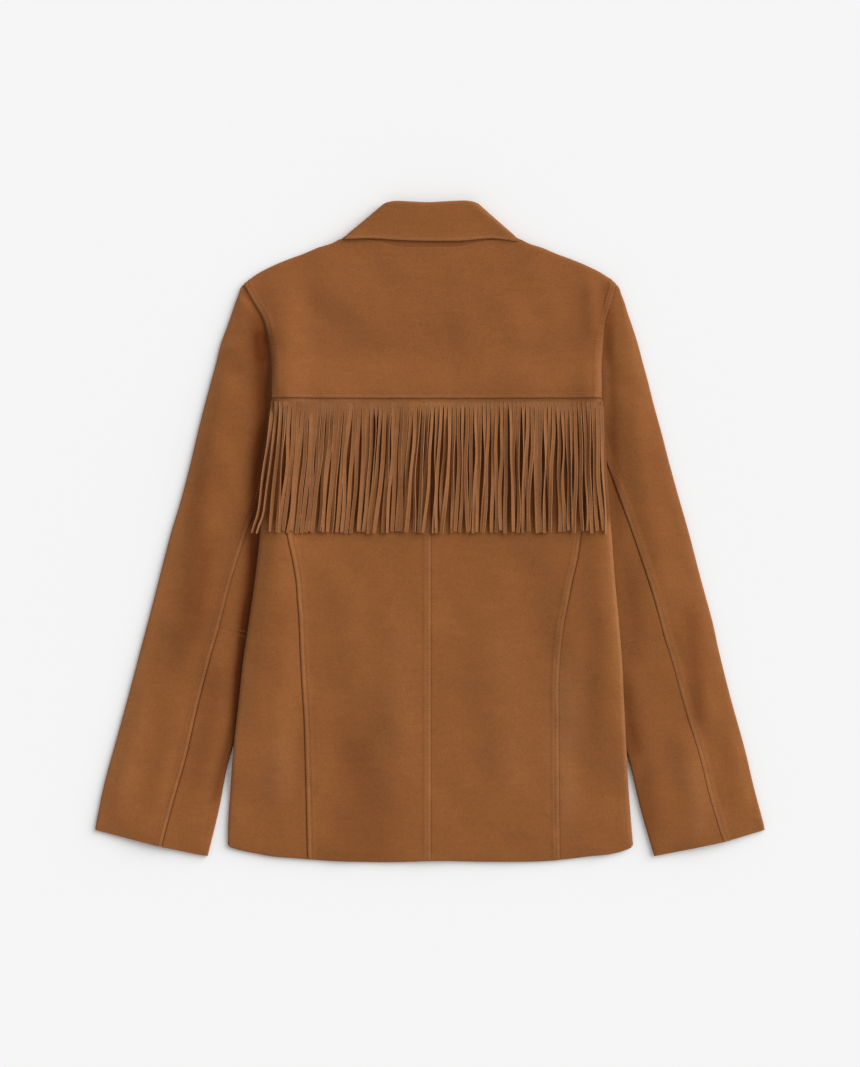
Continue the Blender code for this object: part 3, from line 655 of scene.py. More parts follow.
def lengths_along(path):
    """How far each point of a path is from its start."""
    return np.concatenate([[0], np.cumsum(np.linalg.norm(np.diff(path, axis=0), axis=1))])


def make_stitches(name, runs):
    """Thread along each run, a pair of points and normals on the nap side."""
    points, faces = [], []
    for path, normals in runs:
        lengths = lengths_along(path)

        def at(distance, rows):
            return np.array([np.interp(distance, lengths, rows[:, axis]) for axis in range(3)])

        for start in np.arange(STITCH_PITCH / 2, lengths[-1] - STITCH_LENGTH, STITCH_PITCH):
            up = unit(at(start + STITCH_LENGTH / 2, normals))
            faces += tube_faces(len(points), len(STITCH_RINGS), STITCH_SIDES)
            points += stitch_points(at(start, path), at(start + STITCH_LENGTH, path), up)
    print(f"{name}: {len(points) // (len(STITCH_RINGS) * STITCH_SIDES)} stitches")
    return finish_object(name, new_mesh(name, points, faces, [0] * len(faces)), [thread])

# %% [markdown]
# ## The flat-lying body
#
# Laid on its front, the body is two layers of suede with a little air between them. Its
# sides lie on the inner edges of the sleeves, and its neck lies on the collar's wings,
# so one function, `lift`, says how high the underside is at any place. The fronts, the
# back, the yoke and the fringe all start from it and can't run through one another.

# %% The sides of the body
Edge = namedtuple("Edge", "y left right")
EDGES = [
    Edge(262, -197.5, 197.5),
    Edge(251, -191, 194.5),
    Edge(243, -186, 192),
    Edge(234, -180, 189),
    Edge(225, -175, 186.5),
    Edge(214, -172, 184),
    Edge(198, -169, 182.5),
    Edge(182, -167, 181),
    Edge(156, -166, 180.3),
    Edge(142, -166, 180.5),
    Edge(108, -169, 185),
    Edge(66, -173, 187.5),
    Edge(34, -176, 189.5),
    Edge(-3, -180, 192.5),
    Edge(-51, -185.5, 196),
    Edge(-93, -191.5, 200),
    Edge(-136, -198, 203.5),
    Edge(-178, -202.5, 205.5),
    Edge(-226, -208, 208),
    Edge(-273, -212, 211),
    Edge(-311, -214.5, 214),
    Edge(-334, -215, 216),
]
left_edge = column(EDGES, "y", "left")
right_edge = column(EDGES, "y", "right")
print(f"the body is {right_edge(0.0) - left_edge(0.0):.0f} mm wide at the waist")

# %% The neck seam and the shoulders
Rim = namedtuple("Rim", "x back front")  # the neck seam, from the middle to a shoulder
NECK = [
    Rim(0, 302.25, 254),
    Rim(9, 302.28, 254),
    Rim(18, 302.45, 254.8),
    Rim(27, 302.85, 258),
    Rim(35, 303.6, 262.5),
    Rim(50, 307.2, 273),
    Rim(61, 309.7, 280),
    Rim(69, 310.7, 291),
    Rim(76, 311.0, 299.5),
    Rim(86, 311.4, 303.5),
    Rim(92, 311.6, 307.0),
    Rim(95.5, 310.8, 309.5),
]
Shoulder = namedtuple("Shoulder", "x y")
SHOULDERS = [
    Shoulder(95.5, 310.8),
    Shoulder(99.6, 308.2),
    Shoulder(106, 305.6),
    Shoulder(116, 302.7),
    Shoulder(135, 295),
    Shoulder(149, 290),
    Shoulder(169, 281.5),
    Shoulder(184, 273.5),
    Shoulder(192, 267.5),
    Shoulder(197.5, 262),
]
NECK_POINT = NECK[-1].x
shoulder_line = column(SHOULDERS, "x", "y")


def top_outline(field):
    """The upper outline of the back or the front: neck seam, then shoulders."""
    neck_line = column(NECK, "x", field)
    return lambda x: np.where(np.abs(x) < NECK_POINT, neck_line(np.abs(x)), shoulder_line(np.abs(x)))


back_top = top_outline("back")
front_top = top_outline("front")
print(f"the neck is {back_top(0.0) - front_top(0.0):.0f} mm lower in front")

# %% The hem and the shaped seams
Hem = namedtuple("Hem", "x y")
HEM = [
    Hem(-215, -334),
    Hem(-201, -338),
    Hem(-186, -341),
    Hem(-170, -344),
    Hem(-148, -346),
    Hem(-95, -349.5),
    Hem(-21, -350),
    Hem(0, -349.3),
    Hem(64, -350),
    Hem(127, -349),
    Hem(148, -347),
    Hem(170, -344),
    Hem(191, -342),
    Hem(207, -338),
    Hem(216, -334),
]
hem_line = column(HEM, "x", "y")

Seam = namedtuple("Seam", "y left right")
SHAPED_SEAMS = [
    Seam(151, -158, 172),
    Seam(98, -157, 170),
    Seam(45, -155, 165),
    Seam(-3, -151.5, 160),
    Seam(-30, -146, 156),
    Seam(-51, -142.5, 151),
    Seam(-72, -141, 147),
    Seam(-93, -139.3, 143),
    Seam(-125, -138, 139),
    Seam(-157, -136.5, 137),
    Seam(-199, -133.5, 137),
    Seam(-247, -132, 137),
    Seam(-350, -130, 138),
]
left_seam = column(SHAPED_SEAMS, "y", "left")
right_seam = column(SHAPED_SEAMS, "y", "right")
CENTRE_SEAM = 1.0
print(f"the back is {back_top(0.0) - hem_line(0.0):.0f} mm long at the middle")

# %% Where the sleeves run
Cap = namedtuple("Cap", "outer seam_thick")  # a row that ends at the armhole
Cut = namedtuple("Cut", "outer seam inner")  # a row from the outer fold to the inner one
SLEEVES = {
    "left": [
        Cap((-197.8, 263.1), 6.4),
        Cap((-201.5, 258), 6.6),
        Cap((-203, 253), 6.8),
        Cap((-206.5, 244), 6.8),
        Cap((-210.5, 232), 6.5),
        Cap((-215, 219), 6.0),
        Cap((-222, 200), 5.8),
        Cap((-227, 180), 5.4),
        Cap((-233, 158), 5.0),
        Cut((-240, 132), (-164, 113), (-119, 105)),
        Cut((-247, 104), (-170, 82), (-125, 76)),
        Cut((-255, 70), (-178, 45), (-134, 42)),
        Cut((-265, 32), (-193, 5), (-144, 4)),
        Cut((-275, -1), (-202.5, -24), (-153, -29)),
        Cut((-286, -43), (-213.2, -59), (-165, -71)),
        Cut((-297, -86), (-224, -102), (-176, -113)),
        Cut((-306, -120), (-232.8, -132), (-187, -147)),
        Cut((-320, -173), (-247, -187), (-201, -199)),
        Cut((-334, -224), (-259, -240), (-215, -248)),
        Cut((-346, -268), (-272, -285), (-224, -294)),
        Cut((-356, -316), (-285, -334), (-236, -344)),
    ],
    "right": [
        Cap((197.8, 263.1), 6.0),
        Cap((201.5, 258), 6.0),
        Cap((203, 253), 6.0),
        Cap((206.5, 244), 6.0),
        Cap((210.5, 231), 6.0),
        Cap((215, 218), 6.0),
        Cap((221, 199), 5.8),
        Cap((226, 180), 5.4),
        Cap((232, 158), 5.0),
        Cut((238, 134), (177, 113), (118, 105)),
        Cut((246, 105), (182, 88), (125, 76)),
        Cut((255, 70), (194, 55), (134, 41)),
        Cut((265, 34), (207, 20), (144, 5)),
        Cut((275, -1), (219, -14), (154, -30)),
        Cut((288, -51), (235, -63), (169, -80)),
        Cut((300, -95), (248, -109), (181, -126)),
        Cut((307, -127), (257, -139), (190, -157)),
        Cut((319, -175), (270.3, -187), (200, -204)),
        Cut((334, -229), (286, -240), (213, -250)),
        Cut((344, -271), (296, -281), (224, -296)),
        Cut((356, -316), (311, -329), (238, -344)),
    ],
}
# Levels of the cap's rows, from the shoulder down.
ARMHOLE_LEVELS = (260.6, 256.5, 249, 238, 226, 206, 184, 163, 142)


def inner_edge(side):
    """The hidden inner fold of a sleeve, x as a function of y."""
    cuts = sorted((cut.inner[1], cut.inner[0]) for cut in SLEEVES[side] if isinstance(cut, Cut))
    return smooth_curve([y for y, x in cuts], [x for y, x in cuts])


sleeve_inner_left = inner_edge("left")
sleeve_inner_right = inner_edge("right")
print(f"a sleeve has {len(SLEEVES['left'])} rows, {len(ARMHOLE_LEVELS)} of them in the cap")

# %% How high the body lies
BODY_THICK = 6.0
LIFT_OVER_SLEEVE, LIFT_FADE, LIFT_MARGIN = 6.0, 70.0, 4.0
ARMHOLE_RISE = (198.0, 53.0)  # the body climbs on to the sleeve from this level, over this far
HEM_FALL = (-289.0, 53.0)  # and comes down again above the hem
NECK_CENTRE = (0.5, 309.0)
NECK_RADIUS, NECK_FADE = 104.0, 41.0
NECK_LIFT = WALL + SEAM_GAP


def lift(x, y):
    """Height of the body's underside above the table."""
    strength = smooth((ARMHOLE_RISE[0] - y) / ARMHOLE_RISE[1])
    strength = strength * smooth((y - HEM_FALL[0]) / HEM_FALL[1])
    over_left = 1 - smooth((x - sleeve_inner_left(y) - LIFT_MARGIN) / LIFT_FADE)
    over_right = 1 - smooth((sleeve_inner_right(y) - LIFT_MARGIN - x) / LIFT_FADE)
    neck_distance = np.hypot(x - NECK_CENTRE[0], y - NECK_CENTRE[1])
    over_collar = NECK_LIFT * (1 - smooth((neck_distance - NECK_RADIUS) / NECK_FADE))
    return LIFT_OVER_SLEEVE * strength * np.maximum(over_left, over_right) + over_collar


print(f"the body's side lies {lift(np.array(-165.0), np.array(0.0)):.1f} mm up at the waist")

# %% [markdown]
# ## Folds of the back
#
# A worn jacket never lies quite flat. The main folds are drawn one by one, each with its
# path, width and height. The wide ones along the body's sides stand over the sleeves and
# throw the deep valleys beside them. A cloth simulation would drop the suede flat and
# lose these, and would give other folds every time the pattern changed.

# %% The folds of the back
BACK_FOLDS = [
    Fold([(-170, 300), (-153, 210), (-152, 90), (-166, -60), (-192, -310)], 20, 8.0),
    Fold([(172, 290), (171, 180), (176, 60), (184, -80), (196, -290)], 16, 4.5),
    Fold([(171, 278), (172, 240), (175, 190)], 7, 2.4),
    Fold([(183, 270), (185, 235), (184, 205)], 5, -1.2),
    Fold([(-128, 268), (-98, 246), (-62, 232)], 15, 1.6),
    Fold([(150, -110), (147, -220), (146, -345)], 12, 1.2),
    Fold([(-42, -40), (-36, -180), (-34, -348)], 24, 3.2),
    Fold([(-118, -150), (-122, -250), (-120, -346)], 16, 2.4),
    Fold([(-162, -90), (-158, -190), (-160, -320)], 12, 2.4),
    Fold([(66, -20), (80, -170), (84, -340)], 26, 2.4),
    Fold([(-104, -20), (-82, -110), (-76, -200)], 20, 2.0),
    Fold([(120, 250), (60, 200), (20, 190)], 26, 1.2),
    Fold([(-30, 270), (-40, 220), (-90, 160)], 26, 1.2),
]
RUMPLE_HEIGHT = 0.45
print(len(BACK_FOLDS), "folds on the back, the highest", max(fold.height for fold in BACK_FOLDS), "mm")

# %% The height of the back
LEAST_AIR = 0.5
FRONT_LAP = 12.0  # each front runs this far past the middle
FRONT_STEP = 14.0  # the upper front climbs on to the lower one over this far
FRONT_STEP_ENDS = (2.0, 1.0)  # outside the lap, at the left and at the right
ARMHOLE_BEND = 6.0  # the back starts to bend down this far from the armhole
SEAM_LANDING, ON_SLEEVE = 3.8, 5.3  # where it lands: at the seam, and lower down on the sleeve
LANDING_FADE = (168.0, 28.0)
BEND_START = (100.0, 45.0)  # below this level the side rolls to its own seam instead


def front_climb(x):
    """0 to the left of the lap, 1 from the lap on, where one front has climbed on to the other."""
    return smooth((x + FRONT_LAP + FRONT_STEP_ENDS[0] + FRONT_STEP) / FRONT_STEP)


def least_flesh(x, y):
    """The lowest the back's flesh side can lie: on one front, or on two where they lap."""
    lapped = front_climb(x) * (1 - smooth((x - FRONT_LAP - FRONT_STEP_ENDS[1]) / FRONT_STEP))
    return lift(x, y) + WALL * (1 + lapped) + LEAST_AIR


def armhole_bend(x, y):
    """Beside the armholes the back bends down on to the sleeves, 1 at the very edge."""
    distance = np.minimum(x - left_edge(y), right_edge(y) - x)
    away = np.clip(distance / ARMHOLE_BEND, 0, 1)
    return (1 - np.sqrt(1 - (1 - away) ** 2)) * smooth((y - BEND_START[0]) / BEND_START[1])


def back_flesh(x, y):
    """Height of the flesh side of the back, never into the fronts below it."""
    raised = fold_height(BACK_FOLDS, x, y) + RUMPLE_HEIGHT * rumple(x, y)
    free = np.maximum(lift(x, y) + BODY_THICK - WALL + raised, least_flesh(x, y))
    fade = smooth((LANDING_FADE[0] - y) / LANDING_FADE[1])
    landing = SEAM_LANDING + (ON_SLEEVE - SEAM_LANDING) * fade
    return free + (np.minimum(landing, free) - free) * armhole_bend(x, y)


# %% Painted shade and painted highlights on the back
BACK_PAINTED_LIGHT = [
    Fold([(174, -60), (176, -150), (172, -250)], 12, -0.1),
    Fold([(-86, -170), (-72, -280), (-66, -440)], 36, -0.17),
    Fold([(-160, -60), (-160, -120), (-158, -180)], 10, -0.15),
    Fold([(-158, -200), (-160, -250), (-158, -300)], 11, 0.25),
    Fold([(182, 275), (183, 235), (180, 195)], 7, -0.25),
    Fold([(144, -110), (143, -220), (146, -346)], 15, 0.42),
    Fold([(197, 0), (199, -80), (202, -190)], 8, 0.2),
    Fold([(-60, 232), (0, 214), (60, 226)], 24, -0.08),
    Fold([(-168, 225), (-166, 190), (-166, 140)], 6, -0.38),
    Fold([(60, -60), (90, -200), (76, -330)], 26, 0.12),
    Fold([(-40, -60), (-34, -180), (-36, -300)], 20, 0.12),
]
# Painted shadow on the nap under the fringe, which shows between its strands
PAINTED_FRINGE_SHADOW = -0.48
FRINGE_SHADE = (4.0, 14.0)  # the painted shadow under the fringe starts from this level up, over this far


def back_shade_and_highlights(x, y):
    """Painted shade and highlights on the back, and the painted shadow under the fringe."""
    covered = smooth((y - FRINGE_SHADE[0]) / FRINGE_SHADE[1])
    return fold_height(BACK_PAINTED_LIGHT, x, y) * (1 - covered) + PAINTED_FRINGE_SHADOW * covered


# places of painted shade and painted highlight on the back
print(len(BACK_PAINTED_LIGHT), "places on the back where the nap lies darker or lighter")

# %% How a side of the body rolls down to its seam
ROLL_ANGLES = np.radians([0, 18, 36, 54, 72, 90])
ROLL_WIDTH = 3.2
SIDE_ROLL_END = (120.0, 30.0)  # below this level a side rolls to its seam
SHOULDER_ROLL_START = (96.5, 8.0)
ROLL_STATIONS = WALL + ROLL_WIDTH * (1 - np.cos(ROLL_ANGLES))
ROLL_CUT_STATIONS = np.array([HALF_GAP, 1.0, 1.8, 2.8, 4.2, 5.8])


def side_roll(y):
    """1 where the side of the body rolls to the side seam, 0 along the armhole."""
    return 1 - smooth((np.asarray(y) - SIDE_ROLL_END[0]) / SIDE_ROLL_END[1])


def shoulder_roll(x):
    """1 where the top of the body rolls to the shoulder seam, 0 at the neck."""
    return smooth((np.abs(x) - SHOULDER_ROLL_START[0]) / SHOULDER_ROLL_START[1])


def seam_level(x, y):
    """The side and shoulder seams run half way between front and back."""
    return lift(x, y) + BODY_THICK / 2


def rolling(share_at):
    """Distances from an outline that rolls where share_at says so."""

    def insets(place):
        share = share_at(place)[:, None]
        return ROLL_STATIONS * share + ROLL_CUT_STATIONS * (1 - share)

    return insets


def roll_border(x, y, z, border, share_at):
    """Bends the points of one border of a grid down to the level of its seam."""
    for k, angle in enumerate(ROLL_ANGLES):
        spot = {"left": np.s_[:, k], "right": np.s_[:, -1 - k], "top": np.s_[-1 - k, :]}[border]
        share = share_at(x[spot] if border == "top" else y[spot])
        middle = seam_level(x[spot], y[spot])
        rolled = middle + (z[spot] - middle) * math.sin(angle)
        z[spot] = z[spot] * (1 - share) + rolled * share


print(f"the sides roll over {ROLL_STATIONS[-1]:.1f} mm")

# %% Cut edges, and seams that are deeper or shallower
CUT_STATIONS = (0.0, 0.5, 1.2, 3.0)
CUT_ROUND, CUT_ROUND_WIDTH = 0.45, 0.5
HEM_DROOP, DROOP_WIDTH = 1.3, 4.0  # the hem and the cuffs bend down to the table at their very edge
HEM_WEAR, HEM_WEAR_WIDTH = 0.2, 3.0
WAIST_FADE = (-50.0, 70.0)  # a seam changes its depth below this level, over this far


def cut_round(distance):
    """A cut edge is slightly rounded by wear."""
    return -CUT_ROUND * near(distance, CUT_ROUND_WIDTH)


def seam_depth(high, low=None, fade=WAIST_FADE):
    """How deep a seam sinks, as a share: `low` below the level where it fades."""
    low = high if low is None else low
    return lambda y: high + (low - high) * smooth((fade[0] - y) / fade[1])


# %% One panel of the back
YOKE_EDGE = 142.0
PANEL_LAP, LAP_END = 8.5, (0.0, 4.0)  # the panels run this far under the yoke
ROWS_BACK = 92
BUTT_PUCKER = 0.6  # where no stitches show, a seam puckers less
# Wear along the rolled sides, with a painted highlight on the right side, which faces the lamp
SIDE_WEAR_AND_HIGHLIGHT = {"left": 0.3, "right": 0.9}
SIDE_HIGHLIGHT_AT, SIDE_HIGHLIGHT_WIDTH = 2.6, 2.4
Plan = namedtuple("Plan", "left right stations depths welts rolls across")


def back_panel(name, plan):
    """One of the four panels below the yoke, from hem to lap."""
    borders = (*plan.stations, fixed(CUT_STATIONS), fixed(LAP_END))
    top = level(YOKE_EDGE + PANEL_LAP)
    x, y = panel(plan.left, plan.right, hem_line, top, borders, plan.across, ROWS_BACK)
    above_hem = y - hem_line(x)
    z = np.maximum(back_flesh(x, y) - HEM_DROOP * near(above_hem, DROOP_WIDTH), least_flesh(x, y))
    if plan.rolls:
        roll_border(x, y, z, plan.rolls, side_roll)
    relief = cut_round(above_hem)
    wear = HEM_WEAR * near(above_hem, HEM_WEAR_WIDTH)
    painted_light = back_shade_and_highlights(x, y)
    distances = {"left": x - plan.left(y), "right": plan.right(y) - x}
    for (side, distance), depth in zip(distances.items(), plan.depths):
        if side == plan.rolls:
            # painted highlight, with some wear, along the side's roll
            worn = SIDE_WEAR_AND_HIGHLIGHT[side] * near(distance - SIDE_HIGHLIGHT_AT, SIDE_HIGHLIGHT_WIDTH) * side_roll(y)
            wear = np.maximum(wear, worn)
            continue
        painted_light = painted_light + depth(y) * painted_seam_shade(distance)
        if side in plan.welts:
            relief = relief + welt_profile(distance, x, y, depth(y))
            wear = np.maximum(wear, rubbed_and_lit(distance))
        else:
            relief = relief + depth(y) * seam_ditch(distance)
            relief = relief + BUTT_PUCKER * pucker(x, y) * near(distance, PUCKER_WIDTH)
    piece_name = name.replace("back_", "panel_")
    return make_wall(piece_name, np.stack([x, y, z], axis=2), relief, wear=wear, painted_light=painted_light)


# %% The four panels and their stitches
LEFT_DEPTH, CENTRE_DEPTH, RIGHT_DEPTH = seam_depth(1.0), seam_depth(0.22), seam_depth(1.0, 0.25)
welted, butted, close_welt, close_butt = (
    fixed((gap, *stations[1:]))
    for gap in (HALF_GAP, CLOSE_GAP)
    for stations in (WELTED_STATIONS, BUTTED_STATIONS)
)
centre_line = level(CENTRE_SEAM)
rolled_side = rolling(side_roll)
BACK_PLANS = {
    "back_centre_left": Plan(left_seam, centre_line, (welted, close_welt), (LEFT_DEPTH, CENTRE_DEPTH),
                             welts=("left", "right"), rolls=None, across=22),
    "back_centre_right": Plan(centre_line, right_seam, (close_butt, close_welt), (CENTRE_DEPTH, RIGHT_DEPTH),
                              welts=("right",), rolls=None, across=24),
    "back_side_left": Plan(left_edge, left_seam, (rolled_side, butted), (LEFT_DEPTH, LEFT_DEPTH),
                           welts=(), rolls="left", across=9),
    "back_side_right": Plan(right_seam, right_edge, (close_butt, rolled_side), (RIGHT_DEPTH, RIGHT_DEPTH),
                            welts=(), rolls="right", across=9),
}
SHOWN = slice(2, -4)  # stitches start just inside the hem and stop under the fringe

backs = {name: back_panel(name, plan) for name, plan in BACK_PLANS.items()}
for name, wall in backs.items():
    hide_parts(name)
back_stitches = make_stitches(
    "back_stitches",
    [
        column_run(backs["back_centre_left"], STITCH_STATION, SHOWN),
        column_run(backs["back_centre_left"], -1 - STITCH_STATION, SHOWN),
        column_run(backs["back_centre_right"], -1 - STITCH_STATION, SHOWN),
    ],
)

# %% [markdown]
# ## The yoke
#
# The yoke is one piece across the shoulders. It is lapped over the fringe and the back
# panels and stitched down, so its lower edge stands well clear of what it covers. At the
# armholes it carries a welt, and below them it bends down over the sleeves.

# %% The shape of the yoke
STRAND_THICK = 1.2
FRINGE_RISE = WELT + SEAM_GAP
LAP_SLACK = 0.2
LAP_RISE = WALL + FRINGE_RISE + STRAND_THICK + SEAM_GAP + LAP_SLACK
LAP_FLAT, LAP_FADE = 9.5, 42.0  # the lap lies on the fringe this far up, then comes down over this far
LAP_STATIONS = (0.0, 0.5, 1.2, 2.8, 4.0, STITCH_INSET, 5.8, 7.4, 10.0, 14.0, 19.0, 24.0)
LAP_STITCH = LAP_STATIONS.index(STITCH_INSET)
ROWS_YOKE, ACROSS_YOKE = 26, 70

borders = (welted, welted, fixed(LAP_STATIONS), rolling(shoulder_roll))
yoke_x, yoke_y = panel(left_edge, right_edge, level(YOKE_EDGE), back_top, borders, ACROSS_YOKE, ROWS_YOKE)
from_armhole = np.minimum(yoke_x - left_edge(yoke_y), right_edge(yoke_y) - yoke_x)
from_lap = yoke_y - YOKE_EDGE
yoke_z = back_flesh(yoke_x, yoke_y) + LAP_RISE * (1 - smooth((from_lap - LAP_FLAT) / LAP_FADE))
roll_border(yoke_x, yoke_y, yoke_z, "top", shoulder_roll)
print(f"yoke: {yoke_x.shape[0]} rows of {yoke_x.shape[1]} points")

# %% The yoke's edges, wear, painted shade and highlights, and stitches
LAP_ROUND, LAP_ROUND_WIDTH = 0.5, 0.6
LAP_GROOVE_SHARE, LAP_PUCKER_SHARE, LAP_PUCKER_WIDTH = 0.4, 0.6, 9.0
YOKE_WEAR_AND_HIGHLIGHT = (0.75, 0.35)  # beside the left and the right armhole: wear, with a painted highlight at the welt's edge
LAP_WEAR, LAP_WEAR_AT, LAP_WEAR_WIDTH = 0.55, 0.6, 2.4
# A painted highlight along the lit edge of the neck seam
NECK_HIGHLIGHT, NECK_HIGHLIGHT_WIDTH, NECK_HIGHLIGHT_HALF = 0.8, 1.3, NECK_POINT - 30
# Painted shade along the armhole seams, at this share
YOKE_SEAM_SHADE = 0.6

relief = welt_profile(from_armhole, yoke_x, yoke_y) - LAP_ROUND * near(from_lap, LAP_ROUND_WIDTH)
relief += LAP_GROOVE_SHARE * stitch_groove(from_lap)
relief += LAP_PUCKER_SHARE * pucker(yoke_x, yoke_y) * near(from_lap, LAP_PUCKER_WIDTH)
# Wear with painted highlights beside the armholes, along the lap and along the neck; then painted shade and
# highlights
wear = np.where(yoke_x < 0, *YOKE_WEAR_AND_HIGHLIGHT) * rubbed_and_lit(from_armhole)
wear = np.maximum(wear, LAP_WEAR * near(from_lap - LAP_WEAR_AT, LAP_WEAR_WIDTH))
neck_highlight = NECK_HIGHLIGHT * near(back_top(yoke_x) - yoke_y, NECK_HIGHLIGHT_WIDTH)
wear = np.maximum(wear, neck_highlight * (np.abs(yoke_x) < NECK_HIGHLIGHT_HALF))
painted_light = fold_height(BACK_PAINTED_LIGHT, yoke_x, yoke_y) + YOKE_SEAM_SHADE * painted_seam_shade(from_armhole)
flesh = np.stack([yoke_x, yoke_y, yoke_z], axis=2)
yoke = make_wall("yoke", flesh, relief, wear=wear, painted_light=painted_light, finishes=(yoke_nap, flesh_side, cut_edge))
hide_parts("back_yoke")
yoke_stitches = make_stitches(
    "yoke_stitches",
    [
        row_run(yoke, LAP_STITCH, slice(2, -2)),
        column_run(yoke, STITCH_STATION, slice(LAP_STITCH, -2)),
        column_run(yoke, -1 - STITCH_STATION, slice(LAP_STITCH, -2)),
    ],
)

# %% [markdown]
# ## The fringe
#
# A long strip of suede, cut into strands almost to its top, is caught under the yoke's
# edge. Suede strands hang together in locks, cross each other, turn a little on their
# own length and curl at the tips. Each strand here is its own ribbon with its own lean,
# sway and twist, from one seeded random source. Hair particles would be quicker, but
# they have no cut edges and can't be sewn under a yoke.

# %% The strip and what it lies on
STRANDS = 77
STRAND_WIDTH = 4.1
PACKED, PACKED_WIDTH = range(4, 32), 4.42  # these strands lie close together
FRINGE_LEFT, FRINGE_RIGHT = -168.5, 183.4
PITCH = (FRINGE_RIGHT - FRINGE_LEFT) / STRANDS
STRIP_EDGE = 137.5
STRIP_TOP = YOKE_EDGE + 6.0
STRIP_LEFT, STRIP_RIGHT = -165.8, 180.0  # the band under the yoke stays inside its ends
# Strands past the body's side hang a little lower.
OVERHANG_START, OVERHANG_FADE, OVERHANG_DROP = 5.0, 25.0, 0.12


def fringe_base(x, y):
    """The underside of the strip and the strands: clear of the panels' nap side."""
    inset = HALF_GAP + OVERHANG_START * smooth((STRIP_EDGE - y) / OVERHANG_FADE)
    inside = np.clip(x, left_edge(y) + inset, right_edge(y) - inset)
    return back_flesh(inside, y) + WALL + FRINGE_RISE - OVERHANG_DROP * np.abs(x - inside)


print(f"{STRANDS} strands, one every {PITCH:.2f} mm")

# %% Where each strand starts and ends
TIP_LEFT, TIP_RIGHT, TIP_Y = -171.0, 187.5, 0.0
LOOSE_TIPS = (-186.0, -178.0)  # the first strands hang apart from the others
LOOSE = len(LOOSE_TIPS)
# An extra gap at the tips after these strands: the fringe gathers in locks.
LOCK_GAPS = {8: 0.6, 17: 0.8, 25: 1.6, 32: 0.8, 36: 1.2, 40: 1.2, 49: 1.0, 57: 0.8, 64: 1.2, 69: 1.4, 74: 0.8}
# Strands that cross over their neighbours: how far the tip moves, and how high it lies.
CROSSING = {3: (2.5, 1.4), 12: (-3, 1.5), 21: (3, 1.4), 26: (-5, 1.7), 33: (-4.5, 1.7), 37: (-6, 1.8),
            41: (-5, 1.8), 45: (3.5, 1.4), 50: (-4, 1.6), 55: (3, 1.4), 60: (-3, 1.4), 65: (-5, 1.7),
            70: (-5, 1.7), 75: (3, 1.5)}
TIP_SCATTER, PACKED_SCATTER = 0.6, 0.35
TIP_LEVELS = (-0.4, 1.0)  # mean and spread
Place = namedtuple("Place", "number start end tip_y above")
fringe_random = np.random.default_rng(5)


def strand_places():
    """Root x, tip x, tip y and height of every strand."""
    spare = TIP_RIGHT - TIP_LEFT - STRAND_WIDTH - sum(LOCK_GAPS.values())
    shift, places = 0.0, []
    for k in range(STRANDS):
        across, above = CROSSING.get(k, (0.0, 0.0))
        step = max(k - LOOSE, 0) / (STRANDS - 1 - LOOSE)
        end = TIP_LEFT + STRAND_WIDTH / 2 + spare * step + shift + across
        shift += LOCK_GAPS.get(k, 0.0)
        if k < LOOSE:
            end = LOOSE_TIPS[k]
        else:
            end += fringe_random.normal(0, PACKED_SCATTER if k in PACKED else TIP_SCATTER)
        tip_y = TIP_Y + fringe_random.normal(*TIP_LEVELS)
        places.append(Place(k, FRINGE_LEFT + PITCH * (k + 0.5), end, tip_y, above))
    return places


# %% What chance gives each strand
SWAYS = (1.0, 0.6, 0.4, 0.25)  # of the strands' bends, from one long bend to four short ones
CUT_FROM = (0.005, 0.06)  # where a cut ends, as a share of the strand
LEAN, TIP_LEAN, TURN = 0.3, 0.25, 0.45  # spreads of the angles, in radians
TURN_PLACES, TIP_CURLS, WIDTH_SPREAD, TONES = (0.1, 0.9), (0.0, 2.2), 0.05, (0, 0.5)
Chance = namedtuple("Chance", "sways cut_from lean tip_lean turn turn_at curl wider tone")


def draw_chance():
    """One strand's own numbers; the order of the draws decides the whole fringe."""
    normal, uniform = fringe_random.normal, fringe_random.uniform
    return Chance(
        sways=[normal(0, size) for size in SWAYS],
        cut_from=uniform(*CUT_FROM),
        lean=normal(0, LEAN),
        tip_lean=normal(0, TIP_LEAN),
        turn=normal(0, TURN),
        turn_at=uniform(*TURN_PLACES),
        curl=uniform(*TIP_CURLS),
        wider=normal(0, WIDTH_SPREAD),
        tone=uniform(*TONES),
    )


# %% How a strand bends, turns, narrows and rises
# Strands that stand on edge for part of their length: how far they turn, in radians, and where.
TURNED = {3: (-1.1, 0.55), 6: (1.0, 0.75), 14: (-1.1, 0.12), 24: (1.2, 0.28), 25: (1.15, 0.32),
          27: (-1.2, 0.3), 32: (1.2, 0.4), 33: (1.1, 0.45), 36: (-1.2, 0.3), 38: (1.2, 0.55),
          41: (1.15, 0.4), 42: (-1.1, 0.5), 44: (1.2, 0.35), 48: (-1.2, 0.35), 49: (1.1, 0.45),
          52: (1.1, 0.3), 57: (-1.2, 0.5), 58: (1.1, 0.35), 63: (1.2, 0.55), 64: (-1.1, 0.45),
          67: (1.15, 0.4), 69: (1.2, 0.6), 73: (-1.15, 0.4), 76: (1.0, 0.7)}
TURN_REACH, TURN_START = 0.3, 9
LOOSE_CURLS, LOOSE_CURL_FROM = (2.2, 5.0), 0.78  # how far the loose tips curl aside, and from where
LOOSE_TURN, LOOSE_TURN_START, LOOSE_RISE = 1.15, 2.5, 2.0  # they stand on edge and lift off
LEAN_POWER = 1.25  # a strand leans more and more towards its tip
ROOT_OVERLAP = 0.3  # strands start this far inside the strip
TIP_FROM, POINTED_FROM, POINTED = 0.8, 0.95, 0.12
CUT_LENGTH = 0.035  # a strand comes free of its neighbours over this share of its length
